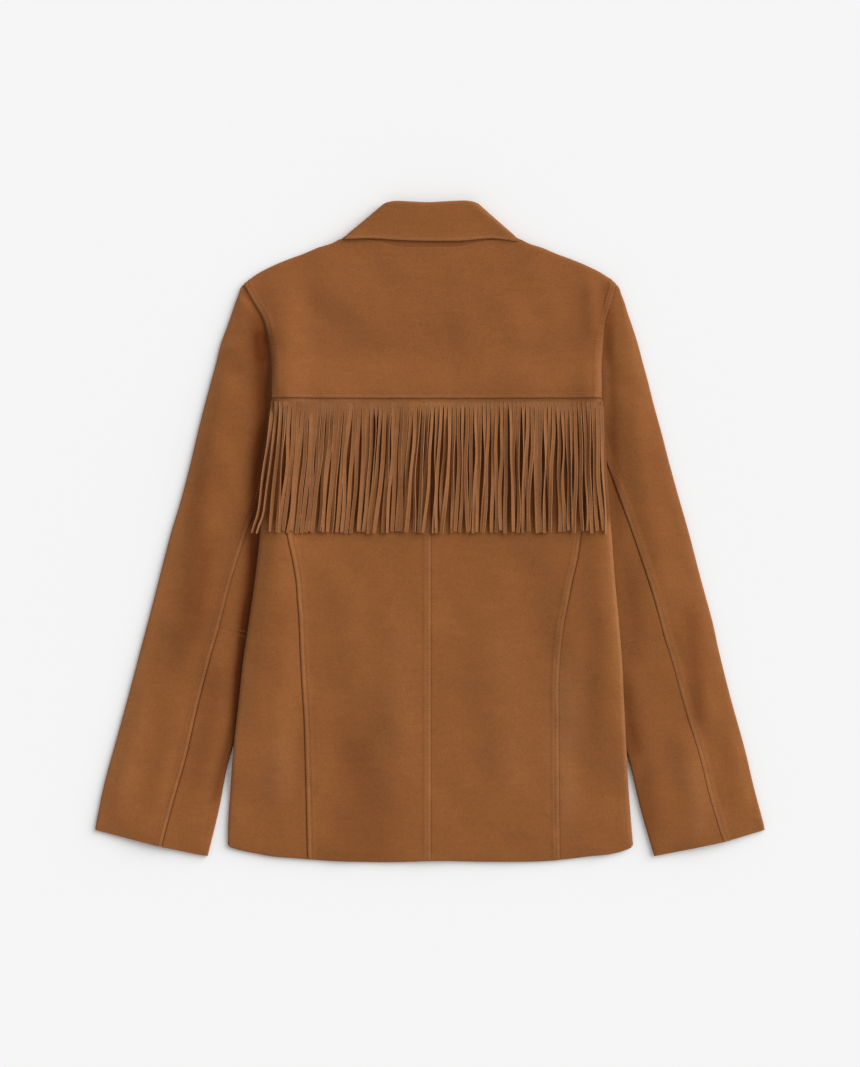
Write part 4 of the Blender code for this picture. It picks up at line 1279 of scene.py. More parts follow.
JOINED_OVERLAP = 0.02  # above that it just runs into them
CROSS_START, ODD_RISE, ODD_START = 2.5, 0.35, 4  # every other strand lies a little higher


def strand_course(place, chance, t):
    """x and y of a strand's middle."""
    sway = sum(size * np.sin(turns * np.pi * t) for turns, size in enumerate(chance.sways, 1))
    x = place.start + (place.end - place.start) * t**LEAN_POWER + sway * smooth(t * 2)
    if place.number < LOOSE:
        x = x - LOOSE_CURLS[place.number] * smooth((t - LOOSE_CURL_FROM) / (1 - LOOSE_CURL_FROM)) ** 2
    return x, STRIP_EDGE + ROOT_OVERLAP + (place.tip_y - STRIP_EDGE) * t


def strand_twist(number, chance, t):
    """How far a strand stands on edge, in radians."""
    if number < LOOSE:
        return LOOSE_TURN * smooth((t - chance.cut_from) * LOOSE_TURN_START)
    most, where = TURNED.get(number, (chance.turn, chance.turn_at))
    twist = chance.lean + most * near(t - where, TURN_REACH) + chance.tip_lean * t**3
    return twist * smooth((t - chance.cut_from) * TURN_START)


def strand_width(number, chance, t, free):
    """Joined to its neighbours above the cut, free below, a little narrower at the tip."""
    full = (PACKED_WIDTH if number in PACKED else STRAND_WIDTH) * (1 + chance.wider)
    width = full * (1 - POINTED * smooth((t - POINTED_FROM) / (1 - POINTED_FROM)))
    return width + (PITCH + JOINED_OVERLAP - width) * (1 - free)


def strand_rise(place, chance, t):
    """How far a strand is lifted by what it crosses and by its own curl."""
    tip = smooth((t - TIP_FROM) / (1 - TIP_FROM))
    rise = place.above * smooth(t * CROSS_START) + chance.curl * tip**2
    if place.number < LOOSE:
        rise = rise + LOOSE_RISE * tip
    return rise + ODD_RISE * (place.number % 2) * smooth((t - chance.cut_from) * ODD_START)


# %% One strand as a ribbon
STRAND_RINGS, RING_POWER = 22, 1.25  # the rings lie closer together at the root
CORNER, EDGE_CURL = 0.3, 0.75


def strand_rings(place, chance):
    """Points of a ribbon, ring by ring, from under the strip to the tip."""
    t = np.linspace(0, 1, STRAND_RINGS) ** RING_POWER
    free = smooth((t - chance.cut_from) / CUT_LENGTH)
    x, y = strand_course(place, chance, t)
    twist = strand_twist(place.number, chance, t)
    width = strand_width(place.number, chance, t, free)
    rise = np.abs(np.sin(twist)) * width / 2 + strand_rise(place, chance, t)
    middle = np.stack([x, y, fringe_base(x, y) + STRAND_THICK / 2 + rise], axis=1)
    ahead = unit(np.gradient(middle, axis=0))
    across = unit(np.stack([ahead[:, 1], -ahead[:, 0], 0 * t], axis=1))
    up = unit(np.cross(across, ahead))
    up = up * np.sign(up[:, 2:3])
    sine, cosine = np.sin(twist)[:, None], np.cos(twist)[:, None]
    side, up = across * cosine + up * sine, up * cosine - across * sine
    corner, curled = CORNER * free[:, None], 1 - EDGE_CURL * free[:, None]
    corners = [(-1, 0, 0), (-1, corner, 1), (0, 0, curled), (1, -corner, 1), (1, 0, 0)]
    corners += [(1, -corner, -1), (-1, corner, -1)]
    ring = [middle + side * (width[:, None] / 2 * a + b) + up * STRAND_THICK / 2 * c for a, b, c in corners]
    return np.stack(ring, axis=1)


# %% The band of the strip under the yoke
STRIP_STEP = 6.0
STRIP_END = np.array([0.0, 0.5, 1.2, 2.5, 4.0])
STRIP_FLARE, FLARE_START = 2.6, 1.0  # below the yoke the strip is wider, at both ends
# Round the band: levels, and whether the point is on its upper side.
STRIP_RING = ((STRIP_EDGE, 0), (STRIP_EDGE, 1), (YOKE_EDGE, 1),
              (STRIP_TOP, 1), (STRIP_TOP, 0), (YOKE_EDGE, 0))


def strip_points():
    """The points of the band, ring by ring from its left end."""
    inner = np.arange(STRIP_LEFT + STRIP_STEP, STRIP_RIGHT - STRIP_STEP, STRIP_STEP)
    xs = np.concatenate([STRIP_LEFT + STRIP_END, inner, STRIP_RIGHT - STRIP_END[::-1]])
    from_middle = (xs - (STRIP_LEFT + STRIP_RIGHT) / 2) / (STRIP_RIGHT - STRIP_LEFT) * 2
    band = []
    for height, upper in STRIP_RING:
        flare = STRIP_FLARE * smooth((YOKE_EDGE + FLARE_START - height) / (YOKE_EDGE - STRIP_EDGE))
        x, y = xs + flare * from_middle, np.full(len(xs), height)
        band.append(np.stack([x, y, fringe_base(x, y) + STRAND_THICK * upper], axis=1))
    return np.stack(band, axis=1).reshape(-1, 3)


# %% The strip and all its strands in one mesh
FRINGE_NAP, FRINGE_CUT = range(2)  # places in the list of the fringe's finishes
SIDE_FACES = (0, 3, 4, 5)
RUBBED_CORNERS, CORNER_WEAR, STRIP_WEAR = (1, 3), 0.35, 0.3
STRAND_UNDERSIDE_SHADE = -0.62  # painted shade along a strand's underside
EDGE_HIGHLIGHT, PACKED_EDGE_HIGHLIGHT = 0.75, 0.1  # and paler along its upper edges, partly the cut edge's own colour and partly a painted highlight; least where the strands lie close


def make_fringe():
    """The strip's band first, then ribbons that start inside its lower edge."""
    points = list(strip_points())
    faces = tube_faces(0, len(points) // len(STRIP_RING), len(STRIP_RING))
    kinds = [FRINGE_NAP] * len(faces)
    worn, fringe_painted_light = [STRIP_WEAR] * len(points), [0.0] * len(points)
    for place in strand_places():
        chance = draw_chance()
        rings = strand_rings(place, chance)
        sides = rings.shape[1]
        made = [face[::-1] for face in tube_faces(len(points), STRAND_RINGS, sides)]
        round_it = [FRINGE_CUT if k % sides in SIDE_FACES else FRINGE_NAP for k in range(len(made) - 2)]
        kinds += [*round_it, FRINGE_CUT, FRINGE_CUT]
        faces += made
        points.extend(rings.reshape(-1, 3))
        worn += [chance.tone + CORNER_WEAR * (k in RUBBED_CORNERS) for k in range(sides)] * STRAND_RINGS
        # Painted shade along each strand's underside, painted highlights along its upper edges
        edge = PACKED_EDGE_HIGHLIGHT if place.number in PACKED else EDGE_HIGHLIGHT
        fringe_painted_light += [STRAND_UNDERSIDE_SHADE, edge, edge / 4, edge, STRAND_UNDERSIDE_SHADE, STRAND_UNDERSIDE_SHADE, 0.0] * STRAND_RINGS
    mesh = new_mesh("cut_fringe", points, faces, kinds)
    mesh.set_sharp_from_angle(angle=SHARP)
    store(mesh, WEAR_HIGHLIGHT_VALUE, worn)
    store(mesh, PAINTED_LIGHT_VALUE, fringe_painted_light)
    print(f"fringe: {STRANDS} strands, {len(faces)} faces")
    return finish_object("cut_fringe", mesh, (fringe_nap, fringe_edge))


fringe = make_fringe()
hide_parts("fringe")

# %% [markdown]
# ## The sleeves
#
# Each sleeve is a flat tube: a top sleeve that wraps the outer fold, and an under sleeve
# that wraps the hidden inner one and is joined at the elbow. The back seam bends across
# the sleeve. A tube could be swept along a curve, but a real pattern has seams that
# wander from its folds, so each row across is laid out from the outer fold, the seam and
# the inner fold, and smooth curves run through the rows.

# %% One row across a sleeve
SLEEVE_THICK = 5.0
SLEEVE_CROWN, CROWN_WIDTH = 3.2, 60.0  # a narrow part of the sleeve is crowned less
FRONT_SEAM_SHARE = 0.72
SLEEVE_FOLD = SLEEVE_THICK / 2
FOLD_RADIUS = SLEEVE_FOLD - WALL
FOLD_ANGLES = np.radians([90, 60, 30, 0, -30, -60, -90])


class Row:
    """One row across a flat-lying sleeve, by distance from its outer fold."""

    def __init__(self, side, number):
        cut = SLEEVES[side][number]
        edge = left_edge if side == "left" else right_edge
        self.outer = np.array(cut.outer, float)
        self.cap = isinstance(cut, Cap)
        if self.cap:
            armhole = ARMHOLE_LEVELS[number]
            gap = math.copysign(SEAM_GAP, self.outer[0])
            self.seam = np.array([float(edge(armhole)) + gap, armhole])
            self.seam_thick = cut.seam_thick
            far = self.seam
        else:
            self.seam = np.array(cut.seam, float)
            self.seam_thick = SLEEVE_THICK
            far = np.array(cut.inner, float)
        self.width = float(np.linalg.norm(far - self.outer))
        self.run = (far - self.outer) / self.width
        self.seam_at = float(np.dot(self.seam - self.outer, self.run))
        self.bend = self.seam - (self.outer + self.run * self.seam_at)
        past_body = abs(float(edge(self.outer[1])) - self.outer[0])
        self.shown = self.width if self.cap else min(self.width, past_body)

    def place(self, inset, height):
        """The point at this distance from the outer fold."""
        share = inset / self.seam_at
        if inset > self.seam_at and not self.cap:
            share = (self.width - inset) / (self.width - self.seam_at)
        x, y = self.outer + self.run * inset + self.bend * max(share, 0)
        return [x, y, height]

    def upper(self, inset):
        """The flesh side of the upper layer, crowned where the sleeve shows."""
        share = np.clip(inset / self.shown, 0, 1)
        crown = SLEEVE_CROWN * math.sin(math.pi * share) * smooth(self.width / CROWN_WIDTH)
        thick = SLEEVE_THICK + (self.seam_thick - SLEEVE_THICK) * smooth(share)
        return self.place(inset, thick + crown - WALL)

    def turn(self, at, sign):
        """The flesh side round a folded edge, top to bottom."""
        return [
            self.place(at + sign * FOLD_RADIUS * math.cos(angle), SLEEVE_FOLD + FOLD_RADIUS * math.sin(angle))
            for angle in FOLD_ANGLES
        ]


rows_across = {side: [Row(side, number) for number in range(len(cuts))] for side, cuts in SLEEVES.items()}
print(f"the left cuff is {rows_across['left'][-1].width:.0f} mm across")

# %% The sleeves' folds, and their painted shade and painted highlights
SLEEVE_FOLDS = [
    Fold([(-214, 246), (-222, 150), (-240, 40), (-250, -60), (-262, -170)], 15, 3.8),
    Fold([(-214, 196), (-212, 178), (-206, 160)], 13, -2.0),
    Fold([(-300, -150), (-322, -240), (-336, -318)], 14, 2.6),
    Fold([(-262, -170), (-282, -250), (-296, -330)], 12, 2.0),
    Fold([(-232, 110), (-214, 70), (-206, 40)], 9, 1.6),
    Fold([(212, 250), (212, 190), (216, 150)], 12, 1.4),
    Fold([(216, 160), (224, 80), (236, 0), (252, -90)], 14, 4.0),
    Fold([(258, -80), (284, -150), (300, -230)], 13, 2.2),
    Fold([(262, -200), (280, -260), (292, -330)], 12, 2.8),
    Fold([(310, -190), (326, -250), (336, -310)], 12, 2.0),
    Fold([(222, -170), (236, -240), (246, -300)], 9, 1.2),
]
# Painted shadow beside the body's edges, painted shade in the sleeves' hollows and painted highlights on
# slopes that face the lamp
SLEEVE_PAINTED_LIGHT = [
    Fold([(-190, 262), (-180, 215), (-179, 170), (-176, 110), (-180, 50), (-184, -10)], 11, -0.5),
    Fold(
        [(-181, 130), (-183.5, 97), (-185, 55), (-187, 28), (-188.5, 2), (-188, -30), (-193, -80)], 6.5, -0.4
    ),
    Fold([(-184, 218), (-180.5, 196), (-178, 176)], 8, -0.22),
    Fold([(186, 190), (187, 150), (189, 105)], 6, 0.4),
    Fold([(-178, 60), (-188, -40), (-200, -140), (-208, -230)], 9, -0.55),
    Fold([(-238, 140), (-247, -10), (-259, -98), (-273, -170)], 11, -0.22),
    Fold([(-232, 10), (-242, -65), (-250, -130)], 8, -0.24),
    Fold([(-212, 160), (-222, 100), (-236, 10)], 14, -0.1),
    Fold([(-218, 200), (-212, 180), (-206, 160)], 14, -0.1),
    Fold([(-192, 250), (-184, 218), (-179, 185), (-177, 150)], 8, -0.12),
    Fold([(-236, 230), (-226, 205), (-214, 190)], 9, 0.3),
    Fold([(-300, -150), (-318, -230), (-330, -310)], 12, 0.22),
    Fold([(-222, -120), (-232, -180), (-244, -240), (-256, -290)], 13, -0.2),
    Fold([(193, 255), (190.5, 222), (190.5, 185), (193.5, 130), (197, 50), (202, -50)], 6, -0.4),
    Fold([(234, 150), (240, 40), (250, -60)], 12, -0.12),
    Fold([(272, -60), (282, -140), (286, -230)], 10, -0.28),
    Fold([(207, -140), (213, -200), (222, -250)], 7, -0.4),
    Fold([(222, -240), (231, -290), (240, -340)], 10, -0.22),
    Fold([(-189, -40), (-197, -120), (-203, -180), (-209, -232)], 6, -0.6),
    Fold([(-205, -190), (-219, -246), (-231, -300)], 6, -0.4),
    Fold([(-214, -20), (-226, -70), (-240, -130), (-250, -200)], 12, -0.13),
    Fold([(270, -230), (282, -280), (288, -335)], 10, 0.4),
    Fold([(212, -20), (218, -90), (222, -150)], 10, -0.18),
]
print(len(SLEEVE_FOLDS), "folds on the sleeves, the highest", max(fold.height for fold in SLEEVE_FOLDS), "mm")

# %% More rows along a sleeve, folded
ROW_STEPS = 6
SLEEVE_RUMPLE = 0.5
FOLD_CLEAR = (6.0, 16.0)  # the folds fade out this far from the body's edge, over this far
LEAST_SLEEVE = 2.6
VALLEY_DEPTH, VALLEY_AT, VALLEY_WIDTH = 2.2, 3.5, 5.5  # the left sleeve sinks beside the body
LEFT_ONLY = (150.0, 20.0)  # this far left of the middle, over this far


def more_rows(rows):
    """Smooth curves through the rows, with more rows between them."""
    rows = np.array(rows, float)
    count = (len(rows) - 1) * ROW_STEPS + 1
    return smooth_curve(range(len(rows)), rows)(np.linspace(0, len(rows) - 1, count))


def fold_sleeve(grid, upper):
    """Adds the folds and rumples to the points of the upper layer that show."""
    x, y = grid[..., 0], grid[..., 1]
    beyond = np.where(x < 0, left_edge(y) - x, x - right_edge(y))
    clear = smooth((beyond - FOLD_CLEAR[0]) / FOLD_CLEAR[1]) * upper
    wanted = grid[..., 2] + clear * (fold_height(SLEEVE_FOLDS, x, y) + SLEEVE_RUMPLE * rumple(x, y))
    valley = VALLEY_DEPTH * near(beyond - VALLEY_AT, VALLEY_WIDTH) * upper
    wanted = wanted - valley * smooth((-x - LEFT_ONLY[0]) / LEFT_ONLY[1])
    grid[..., 2] = np.where(upper > 0, np.maximum(wanted, LEAST_SLEEVE), grid[..., 2])
    return grid


# %% The points of one row of the top sleeve and of the under sleeve
HALF_ROW, UNDER_ROW = 11, 7
TOP_INSETS = np.array(WELTED_STATIONS)
UNDER_STEPS = (0.0, 0.7, 1.6, 3.5)  # the first columns of the under sleeve, from its cut edge
UNDER_INSETS = (HALF_GAP, 0.8, 1.8, 3.6)  # about the same, from the middle of the seam
TOP_SHOWN, UNDER_SHOWN = (len(insets) + HALF_ROW for insets in (TOP_INSETS, UNDER_INSETS))
SQUEEZE_MARGIN = 1.0
TOWARDS_FOLD = np.linspace(0, 1, HALF_ROW + 2)[1:]


def top_row(row):
    """From the back seam over the outer fold to the front seam."""
    gap = 0 if row.cap else HALF_GAP
    front = row.seam_at if row.cap else row.width * FRONT_SEAM_SHARE
    squeeze = min(1.0, (row.seam_at - SLEEVE_FOLD) / (TOP_INSETS[-1] + SQUEEZE_MARGIN))
    insets = row.seam_at + HALF_GAP - gap - TOP_INSETS * squeeze
    rest = insets[-1] + (SLEEVE_FOLD - insets[-1]) * TOWARDS_FOLD
    below = SLEEVE_FOLD + (front - gap - SLEEVE_FOLD) * np.linspace(0, 1, UNDER_ROW + 1)[1:]
    shown = [row.upper(inset) for inset in (*insets, *rest[:-1])]
    return shown + row.turn(SLEEVE_FOLD, -1) + [row.place(inset, WALL) for inset in below]


def under_row(row):
    """From the back seam over the inner fold to the front seam."""
    start, last = row.seam_at + HALF_GAP, row.width - SLEEVE_FOLD
    front = row.width * FRONT_SEAM_SHARE + HALF_GAP
    rest = start + UNDER_STEPS[-1] + (last - start - UNDER_STEPS[-1]) * TOWARDS_FOLD
    shown = [row.upper(inset) for inset in (*(start + step for step in UNDER_STEPS), *rest[:-1])]
    return shown + row.turn(last, 1) + [row.place((last + front) / 2, WALL), row.place(front, WALL)]


# %% What the pieces of a sleeve share
FAR = 99.0  # farther from a seam than anything it does
SHARE_FADE = 3.0
CAP_ROWS = (len(ARMHOLE_LEVELS) - 1) * ROW_STEPS + 1
CAP_PULL = (1.0, 1.0, 1.0, 0.9, 0.8, 0.7, 0.6, 0.4)  # of the columns beside the armhole
ROW_RUN = {"left": -1.0, "right": 1.0}  # which way the rows run


def upper_share(count, falling):
    """1 across the upper layer, falling to 0 at the points before a folded edge."""
    share = np.zeros(count)
    share[:falling] = smooth((falling - np.arange(falling)) / SHARE_FADE)
    return share


def seam_distances(count, insets):
    """The distance of each column from the back seam."""
    return np.concatenate([insets, np.full(count - len(insets), FAR)])


def meet_armhole(top, side):
    """Moves the columns beside the armhole exactly to it, between the rows too."""
    edge, gap = (left_edge, -SEAM_GAP) if side == "left" else (right_edge, SEAM_GAP)
    miss = edge(top[:CAP_ROWS, 0, 1]) + gap - top[:CAP_ROWS, 0, 0]
    top[:CAP_ROWS, : len(CAP_PULL), 0] += miss[:, None] * CAP_PULL


def droop_cuff(grid, shown):
    """The last row of the cuff bends down to the table."""
    grid[-1, :shown, 2] = np.maximum(grid[-1, :shown, 2] - HEM_DROOP, LEAST_SLEEVE)


# %% The relief of the top sleeve
ELBOW_FADE = (-40.0, 120.0)  # the left sleeve's back seam is shallow above the elbow and sinks below it
TOP_DEPTH = {"left": seam_depth(0.5, 1.4, ELBOW_FADE), "right": seam_depth(1.6, 0.8)}
# How much painted shade lies along the back seam; the under sleeve's seam ditch sinks by the same share.
SEAM_DITCH_AND_SHADE = {"left": seam_depth(0.2, 0.8, ELBOW_FADE), "right": seam_depth(1.0, 0.3)}
CAP_DITCH = 26.0  # the armhole seam starts flat at the shoulder and sinks over this many rows
GROOVE_LOST = 0.6  # the right sleeve's stitches sink less, by this share
STITCH_LINE_SHADE = 0.7  # painted shade along the left sleeve's line of stitches
ROW_PITCH = 5.0  # rows are at least this far apart at the cuff
FOLD_WEAR, FOLD_WEAR_AT, FOLD_WEAR_WIDTH = 0.5, -2.5, 2.0  # in columns, from the outer fold
CUFF_WEAR_WIDTH = 0.8  # in rows


def top_relief(side, x, y, from_seam, below_armhole):
    """The welt along the back seam, the ditch along the armhole and the round edge of the cuff."""
    rows = np.arange(len(x))
    relief = welt_profile(from_seam, x, y, TOP_DEPTH[side](y[:, :1])) * below_armhole
    relief += seam_ditch(from_seam) * smooth(rows / CAP_DITCH)[:, None] * (1 - below_armhole)
    if side == "right":
        relief -= GROOVE_LOST * stitch_groove(from_seam) * below_armhole
    return relief + cut_round(rows[::-1] * ROW_PITCH)[:, None]


def top_wear(from_seam, below_armhole):
    """Worn along the welt, the outer fold and the cuff, with a painted highlight along the welt's edge."""
    fold_at = TOP_SHOWN + len(FOLD_ANGLES) // 2 + FOLD_WEAR_AT
    wear = rubbed_and_lit(from_seam) * below_armhole
    wear = np.maximum(wear, FOLD_WEAR * near(np.arange(len(from_seam)) - fold_at, FOLD_WEAR_WIDTH))
    rows_up = np.arange(len(below_armhole))[::-1, None]
    return np.maximum(wear, HEM_WEAR * near(rows_up, CUFF_WEAR_WIDTH))


def make_top(side):
    """The top sleeve, and its run of stitches."""
    top = more_rows([top_row(row) for row in rows_across[side]])
    meet_armhole(top, side)
    top = fold_sleeve(top, upper_share(top.shape[1], TOP_SHOWN))
    droop_cuff(top, TOP_SHOWN)
    x, y = top[..., 0], top[..., 1]
    from_seam = seam_distances(top.shape[1], TOP_INSETS)
    below_armhole = smooth((np.arange(len(top)) - CAP_ROWS + 1) / ROW_STEPS)[:, None]
    relief = top_relief(side, x, y, from_seam, below_armhole)
    wear = top_wear(from_seam, below_armhole)
    # Painted shade and highlights, with painted shade along the back seam and, on the left, along its
    # stitches
    painted_light = fold_height(SLEEVE_PAINTED_LIGHT, x, y) + painted_seam_shade(from_seam) * below_armhole * SEAM_DITCH_AND_SHADE[side](y[:, :1])
    if side == "left":
        painted_light = painted_light + STITCH_LINE_SHADE * painted_seam_shade(from_seam - STITCH_INSET) * below_armhole
    wall = make_wall(f"top_sleeve_{side}", top, relief, -ROW_RUN[side], wear=wear, painted_light=painted_light)
    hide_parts(f"sleeve_top_{side}")
    return wall.piece, column_run(wall, STITCH_STATION, slice(CAP_ROWS + 4, -1))


# %% The under sleeve, in two parts that meet at the elbow
ELBOW_ROW = 15  # in the sleeve's table, counted from 0
ELBOW = (ELBOW_ROW - len(ARMHOLE_LEVELS)) * ROW_STEPS  # in the finer rows of the under sleeve
ELBOW_GAP, ELBOW_DITCH = 0.1, 0.35  # the elbow seam is pressed flat: a close, shallow seam
ELBOW_STITCH, ELBOW_GROOVE = 2.4, 0.3  # how far the stitches are from it, and how deep they sink
ELBOW_STITCH_ROW = {"upper": -2, "lower": 1}


def split_at_elbow(under):
    """Points of the upper and the lower part, and how far each row is from the elbow seam."""
    seam = under[ELBOW]
    lengths = lengths_along(under[:, 0])
    away = np.abs(lengths - lengths[ELBOW])
    half_gap = unit(under[ELBOW + 1] - seam) * ELBOW_GAP / 2
    above, below = (seam + unit(under[ELBOW + way] - seam) * ELBOW_STITCH for way in (-1, 1))
    upper = np.concatenate([under[:ELBOW], [above], [seam - half_gap]])
    lower = np.concatenate([[seam + half_gap], [below], under[ELBOW + 1 :]])
    return {
        "upper": (upper, np.array([*away[:ELBOW], ELBOW_STITCH, 0.0])),
        "lower": (lower, np.array([0.0, ELBOW_STITCH, *away[ELBOW + 1 :]])),
    }


def make_under(side):
    """The two parts of the under sleeve, and their runs of stitches."""
    under = more_rows([under_row(row) for row in rows_across[side] if not row.cap])
    under = fold_sleeve(under, upper_share(under.shape[1], UNDER_SHOWN))
    droop_cuff(under, UNDER_SHOWN)
    from_seam = seam_distances(under.shape[1], UNDER_INSETS)
    pieces, runs = {}, []
    for name, (part, off_elbow) in split_at_elbow(under).items():
        off_elbow = off_elbow[:, None]
        # How deep the seam ditch sinks, and how dark its painted shade is
        ditch_and_shade = SEAM_DITCH_AND_SHADE[side](part[:, :1, 1])
        relief = seam_ditch(from_seam) * ditch_and_shade + ELBOW_DITCH * seam_ditch(off_elbow)
        if side == "right":  # its elbow stitches sink into the nap
            relief -= ELBOW_GROOVE * near(off_elbow - ELBOW_STITCH, GROOVE_WIDTH)
        painted_light = fold_height(SLEEVE_PAINTED_LIGHT, part[..., 0], part[..., 1]) + painted_seam_shade(from_seam) * ditch_and_shade
        wall = make_wall(f"under_sleeve_{name}_{side}", part, relief, ROW_RUN[side], painted_light=painted_light)
        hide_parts(f"sleeve_under_{name}_{side}")
        pieces[name] = wall.piece
        runs.append(row_run(wall, ELBOW_STITCH_ROW[name], slice(1, UNDER_SHOWN)))
    return pieces, runs


# %% Both sleeves
sleeves = {}
for side in ("left", "right"):
    top_piece, top_run = make_top(side)
    under_pieces, under_runs = make_under(side)
    stitches = make_stitches(f"sleeve_stitches_{side}", [top_run, *under_runs])
    sleeves[side] = {"top": top_piece, **under_pieces, "stitches": stitches}

# %% [markdown]
# ## The fronts
#
# The fronts lie on the table, nap down, lapped at the middle. From above only their
# rolled edges show, but the jacket may be turned over, so they are made with the same
# care: a topstitched front edge, soft folds that rise from the table, and rolled sides.

# %% The height of the fronts
FRONT_HEM_SET_BACK = 1.5
FRONT_FOLDS = [
    Fold([(-70, 200), (-84, 20), (-90, -200), (-92, -345)], 22, 2.0),
    Fold([(60, 210), (78, 40), (84, -160), (80, -345)], 24, 2.0),
    Fold([(-150, 210), (-140, 120), (-120, 60)], 18, 1.4),
    Fold([(150, 210), (142, 130), (124, 70)], 18, 1.4),
    Fold([(40, 60), (44, -120), (40, -320)], 14, 1.2),
]
ROOM_SHARE, ROOM_LEFT = 0.55, 2.2  # the folds use this share of the room under the back, less this


def front_hem(x):
    """The fronts end a little above the back's hem."""
    return hem_line(x) + FRONT_HEM_SET_BACK


def front_flesh(x, y, lapped):
    """Height of a front's flesh side, which faces up."""
    step = (WALL + SEAM_GAP) * front_climb(x) if lapped else 0.0
    room = ROOM_SHARE * (back_flesh(x, y) - lift(x, y) - WALL - LEAST_AIR)
    folds = np.minimum(fold_height(FRONT_FOLDS, x, y), np.maximum(room - ROOM_LEFT, 0))
    return lift(x, y) + WALL + step + folds


# %% The two fronts
FRONT_ROWS, ACROSS_FRONT = 112, 36
FRONT_PUCKER_WIDTH = 8.0
FRONT_WEAR, FRONT_WEAR_WIDTH = 0.7, 3.0
FRONT_EDGE_STATIONS = (0.0, 0.6, 1.6, 3.6, STITCH_INSET, 6.2, 8.5, 14.0, 24.0, 31.0, 38.0)
FRONT_STITCH = FRONT_EDGE_STATIONS.index(STITCH_INSET)
front_edge = fixed(FRONT_EDGE_STATIONS)


def make_front(name, left, right, stations, edge_at, roll_at, lapped=False):
    """A front from its front edge to its rolled side."""
    borders = (*stations, fixed(CUT_STATIONS), rolling(shoulder_roll))
    x, y = panel(left, right, front_hem, front_top, borders, ACROSS_FRONT, FRONT_ROWS)
    z = front_flesh(x, y, lapped)
    roll_border(x, y, z, roll_at, side_roll)
    roll_border(x, y, z, "top", shoulder_roll)
    distance = np.abs(x - edge_at)
    ripple = np.minimum(pucker(x, y), 0.0)  # inwards only, as the table holds the nap side flat
    relief = cut_round(distance) + stitch_groove(distance)
    relief += cut_round(y - front_hem(x)) + ripple * near(distance, FRONT_PUCKER_WIDTH)
    wear = FRONT_WEAR * near(distance, FRONT_WEAR_WIDTH)
    wall = make_wall(f"{name}_panel", np.stack([x, y, z], axis=2), relief, -1.0, wear=wear)
    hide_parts(name)
    return wall


lap_left, lap_right = level(FRONT_LAP), level(-FRONT_LAP)
front_left = make_front(
    "front_left", left_edge, lap_left, (rolled_side, front_edge), FRONT_LAP, "left", lapped=True
)
front_right = make_front("front_right", lap_right, right_edge, (front_edge, rolled_side), -FRONT_LAP, "right")
front_stitches = make_stitches(
    "front_stitches",
    [
        column_run(front_left, -1 - FRONT_STITCH, slice(2, -8)),
        column_run(front_right, FRONT_STITCH, slice(2, -8)),
    ],
)

# %% [markdown]
# ## The collar
#
# The collar is a stand, sewn round the neck, and a fall that turns down over it. Flat on
# the table it is a ring pressed shut: its back half lies on the yoke, its two wings lie
# under the fronts. One section, from the neck edge up the stand, round the fold and down
# the fall, is carried round the ring, so stand and fall roll into each other as they do
# on the real thing.

# %% The collar's bands
Band = namedtuple("Band", "level fold free neck")
COLLAR_WINGS = [
    Band(-1, (-4, 272), (-37, 219), (-4, 255.5)),
    Band(-1, (-19, 294), (-61, 241), (-34, 264)),
    Band(-1, (-36, 325), (-85, 272), (-61, 282)),
]
COLLAR_BACKS = {
    "left": [
        Band(0, (-43.6, 345), (-90.8, 307), (-80.5, 314.2)),
        Band(1, (-31.5, 350.6), (-62, 310.9), (-62, 310.1)),
        Band(1, (-15, 350), (-30, 309), (-35, 303.7)),
        Band(1, (0, 349.6), (0, 308.2), (0, 302.3)),
    ],
    "right": [
        Band(0, (-46.2, 345), (-93.2, 305), (-80.5, 314.2)),
        Band(1, (-34, 351), (-64, 311), (-62, 310.1)),
        Band(1, (-16, 350.4), (-33, 308.4), (-35, 303.7)),
        Band(1, (0, 349.6), (0, 308.2), (0, 302.3)),
    ],
}
print(len(COLLAR_WINGS) + len(COLLAR_BACKS["left"]), "sections on each side")

# %% One section of the collar
STAND_SIDE, FALL_SIDE = 3.0, 3.3  # heights of the stand's and the fall's facing sides
FOLD_SLIDE, FREE_SLIDE = 7.9, 4.8  # how far the two corners move along the side as it turns
STAND_SHARES = (0.0, 0.06, 0.3, 0.55, 0.8, 1.0)
NECK_SINK = 0.45  # the stand lies a little lower than the yoke along the neck seam
SINK_FADE = 3  # over one part in 3 of its width
ROLL_TURNS = np.radians([-60, -30, 0, 30, 60, 90])
STITCH_SHARE = 0.115
FALL_SHARES = (0.94, 0.85, 0.74, 0.62, 0.5, 0.38, 0.26, 0.18, 0.145, STITCH_SHARE,
               0.085, 0.05, 0.02, 0.008, 0.0)
FALL_POWER = 1.6  # the fall comes down quickly from the roll, then lies flat
FALL_START = len(STAND_SHARES) + len(ROLL_TURNS)
FALL_STITCH = FALL_START + FALL_SHARES.index(STITCH_SHARE)


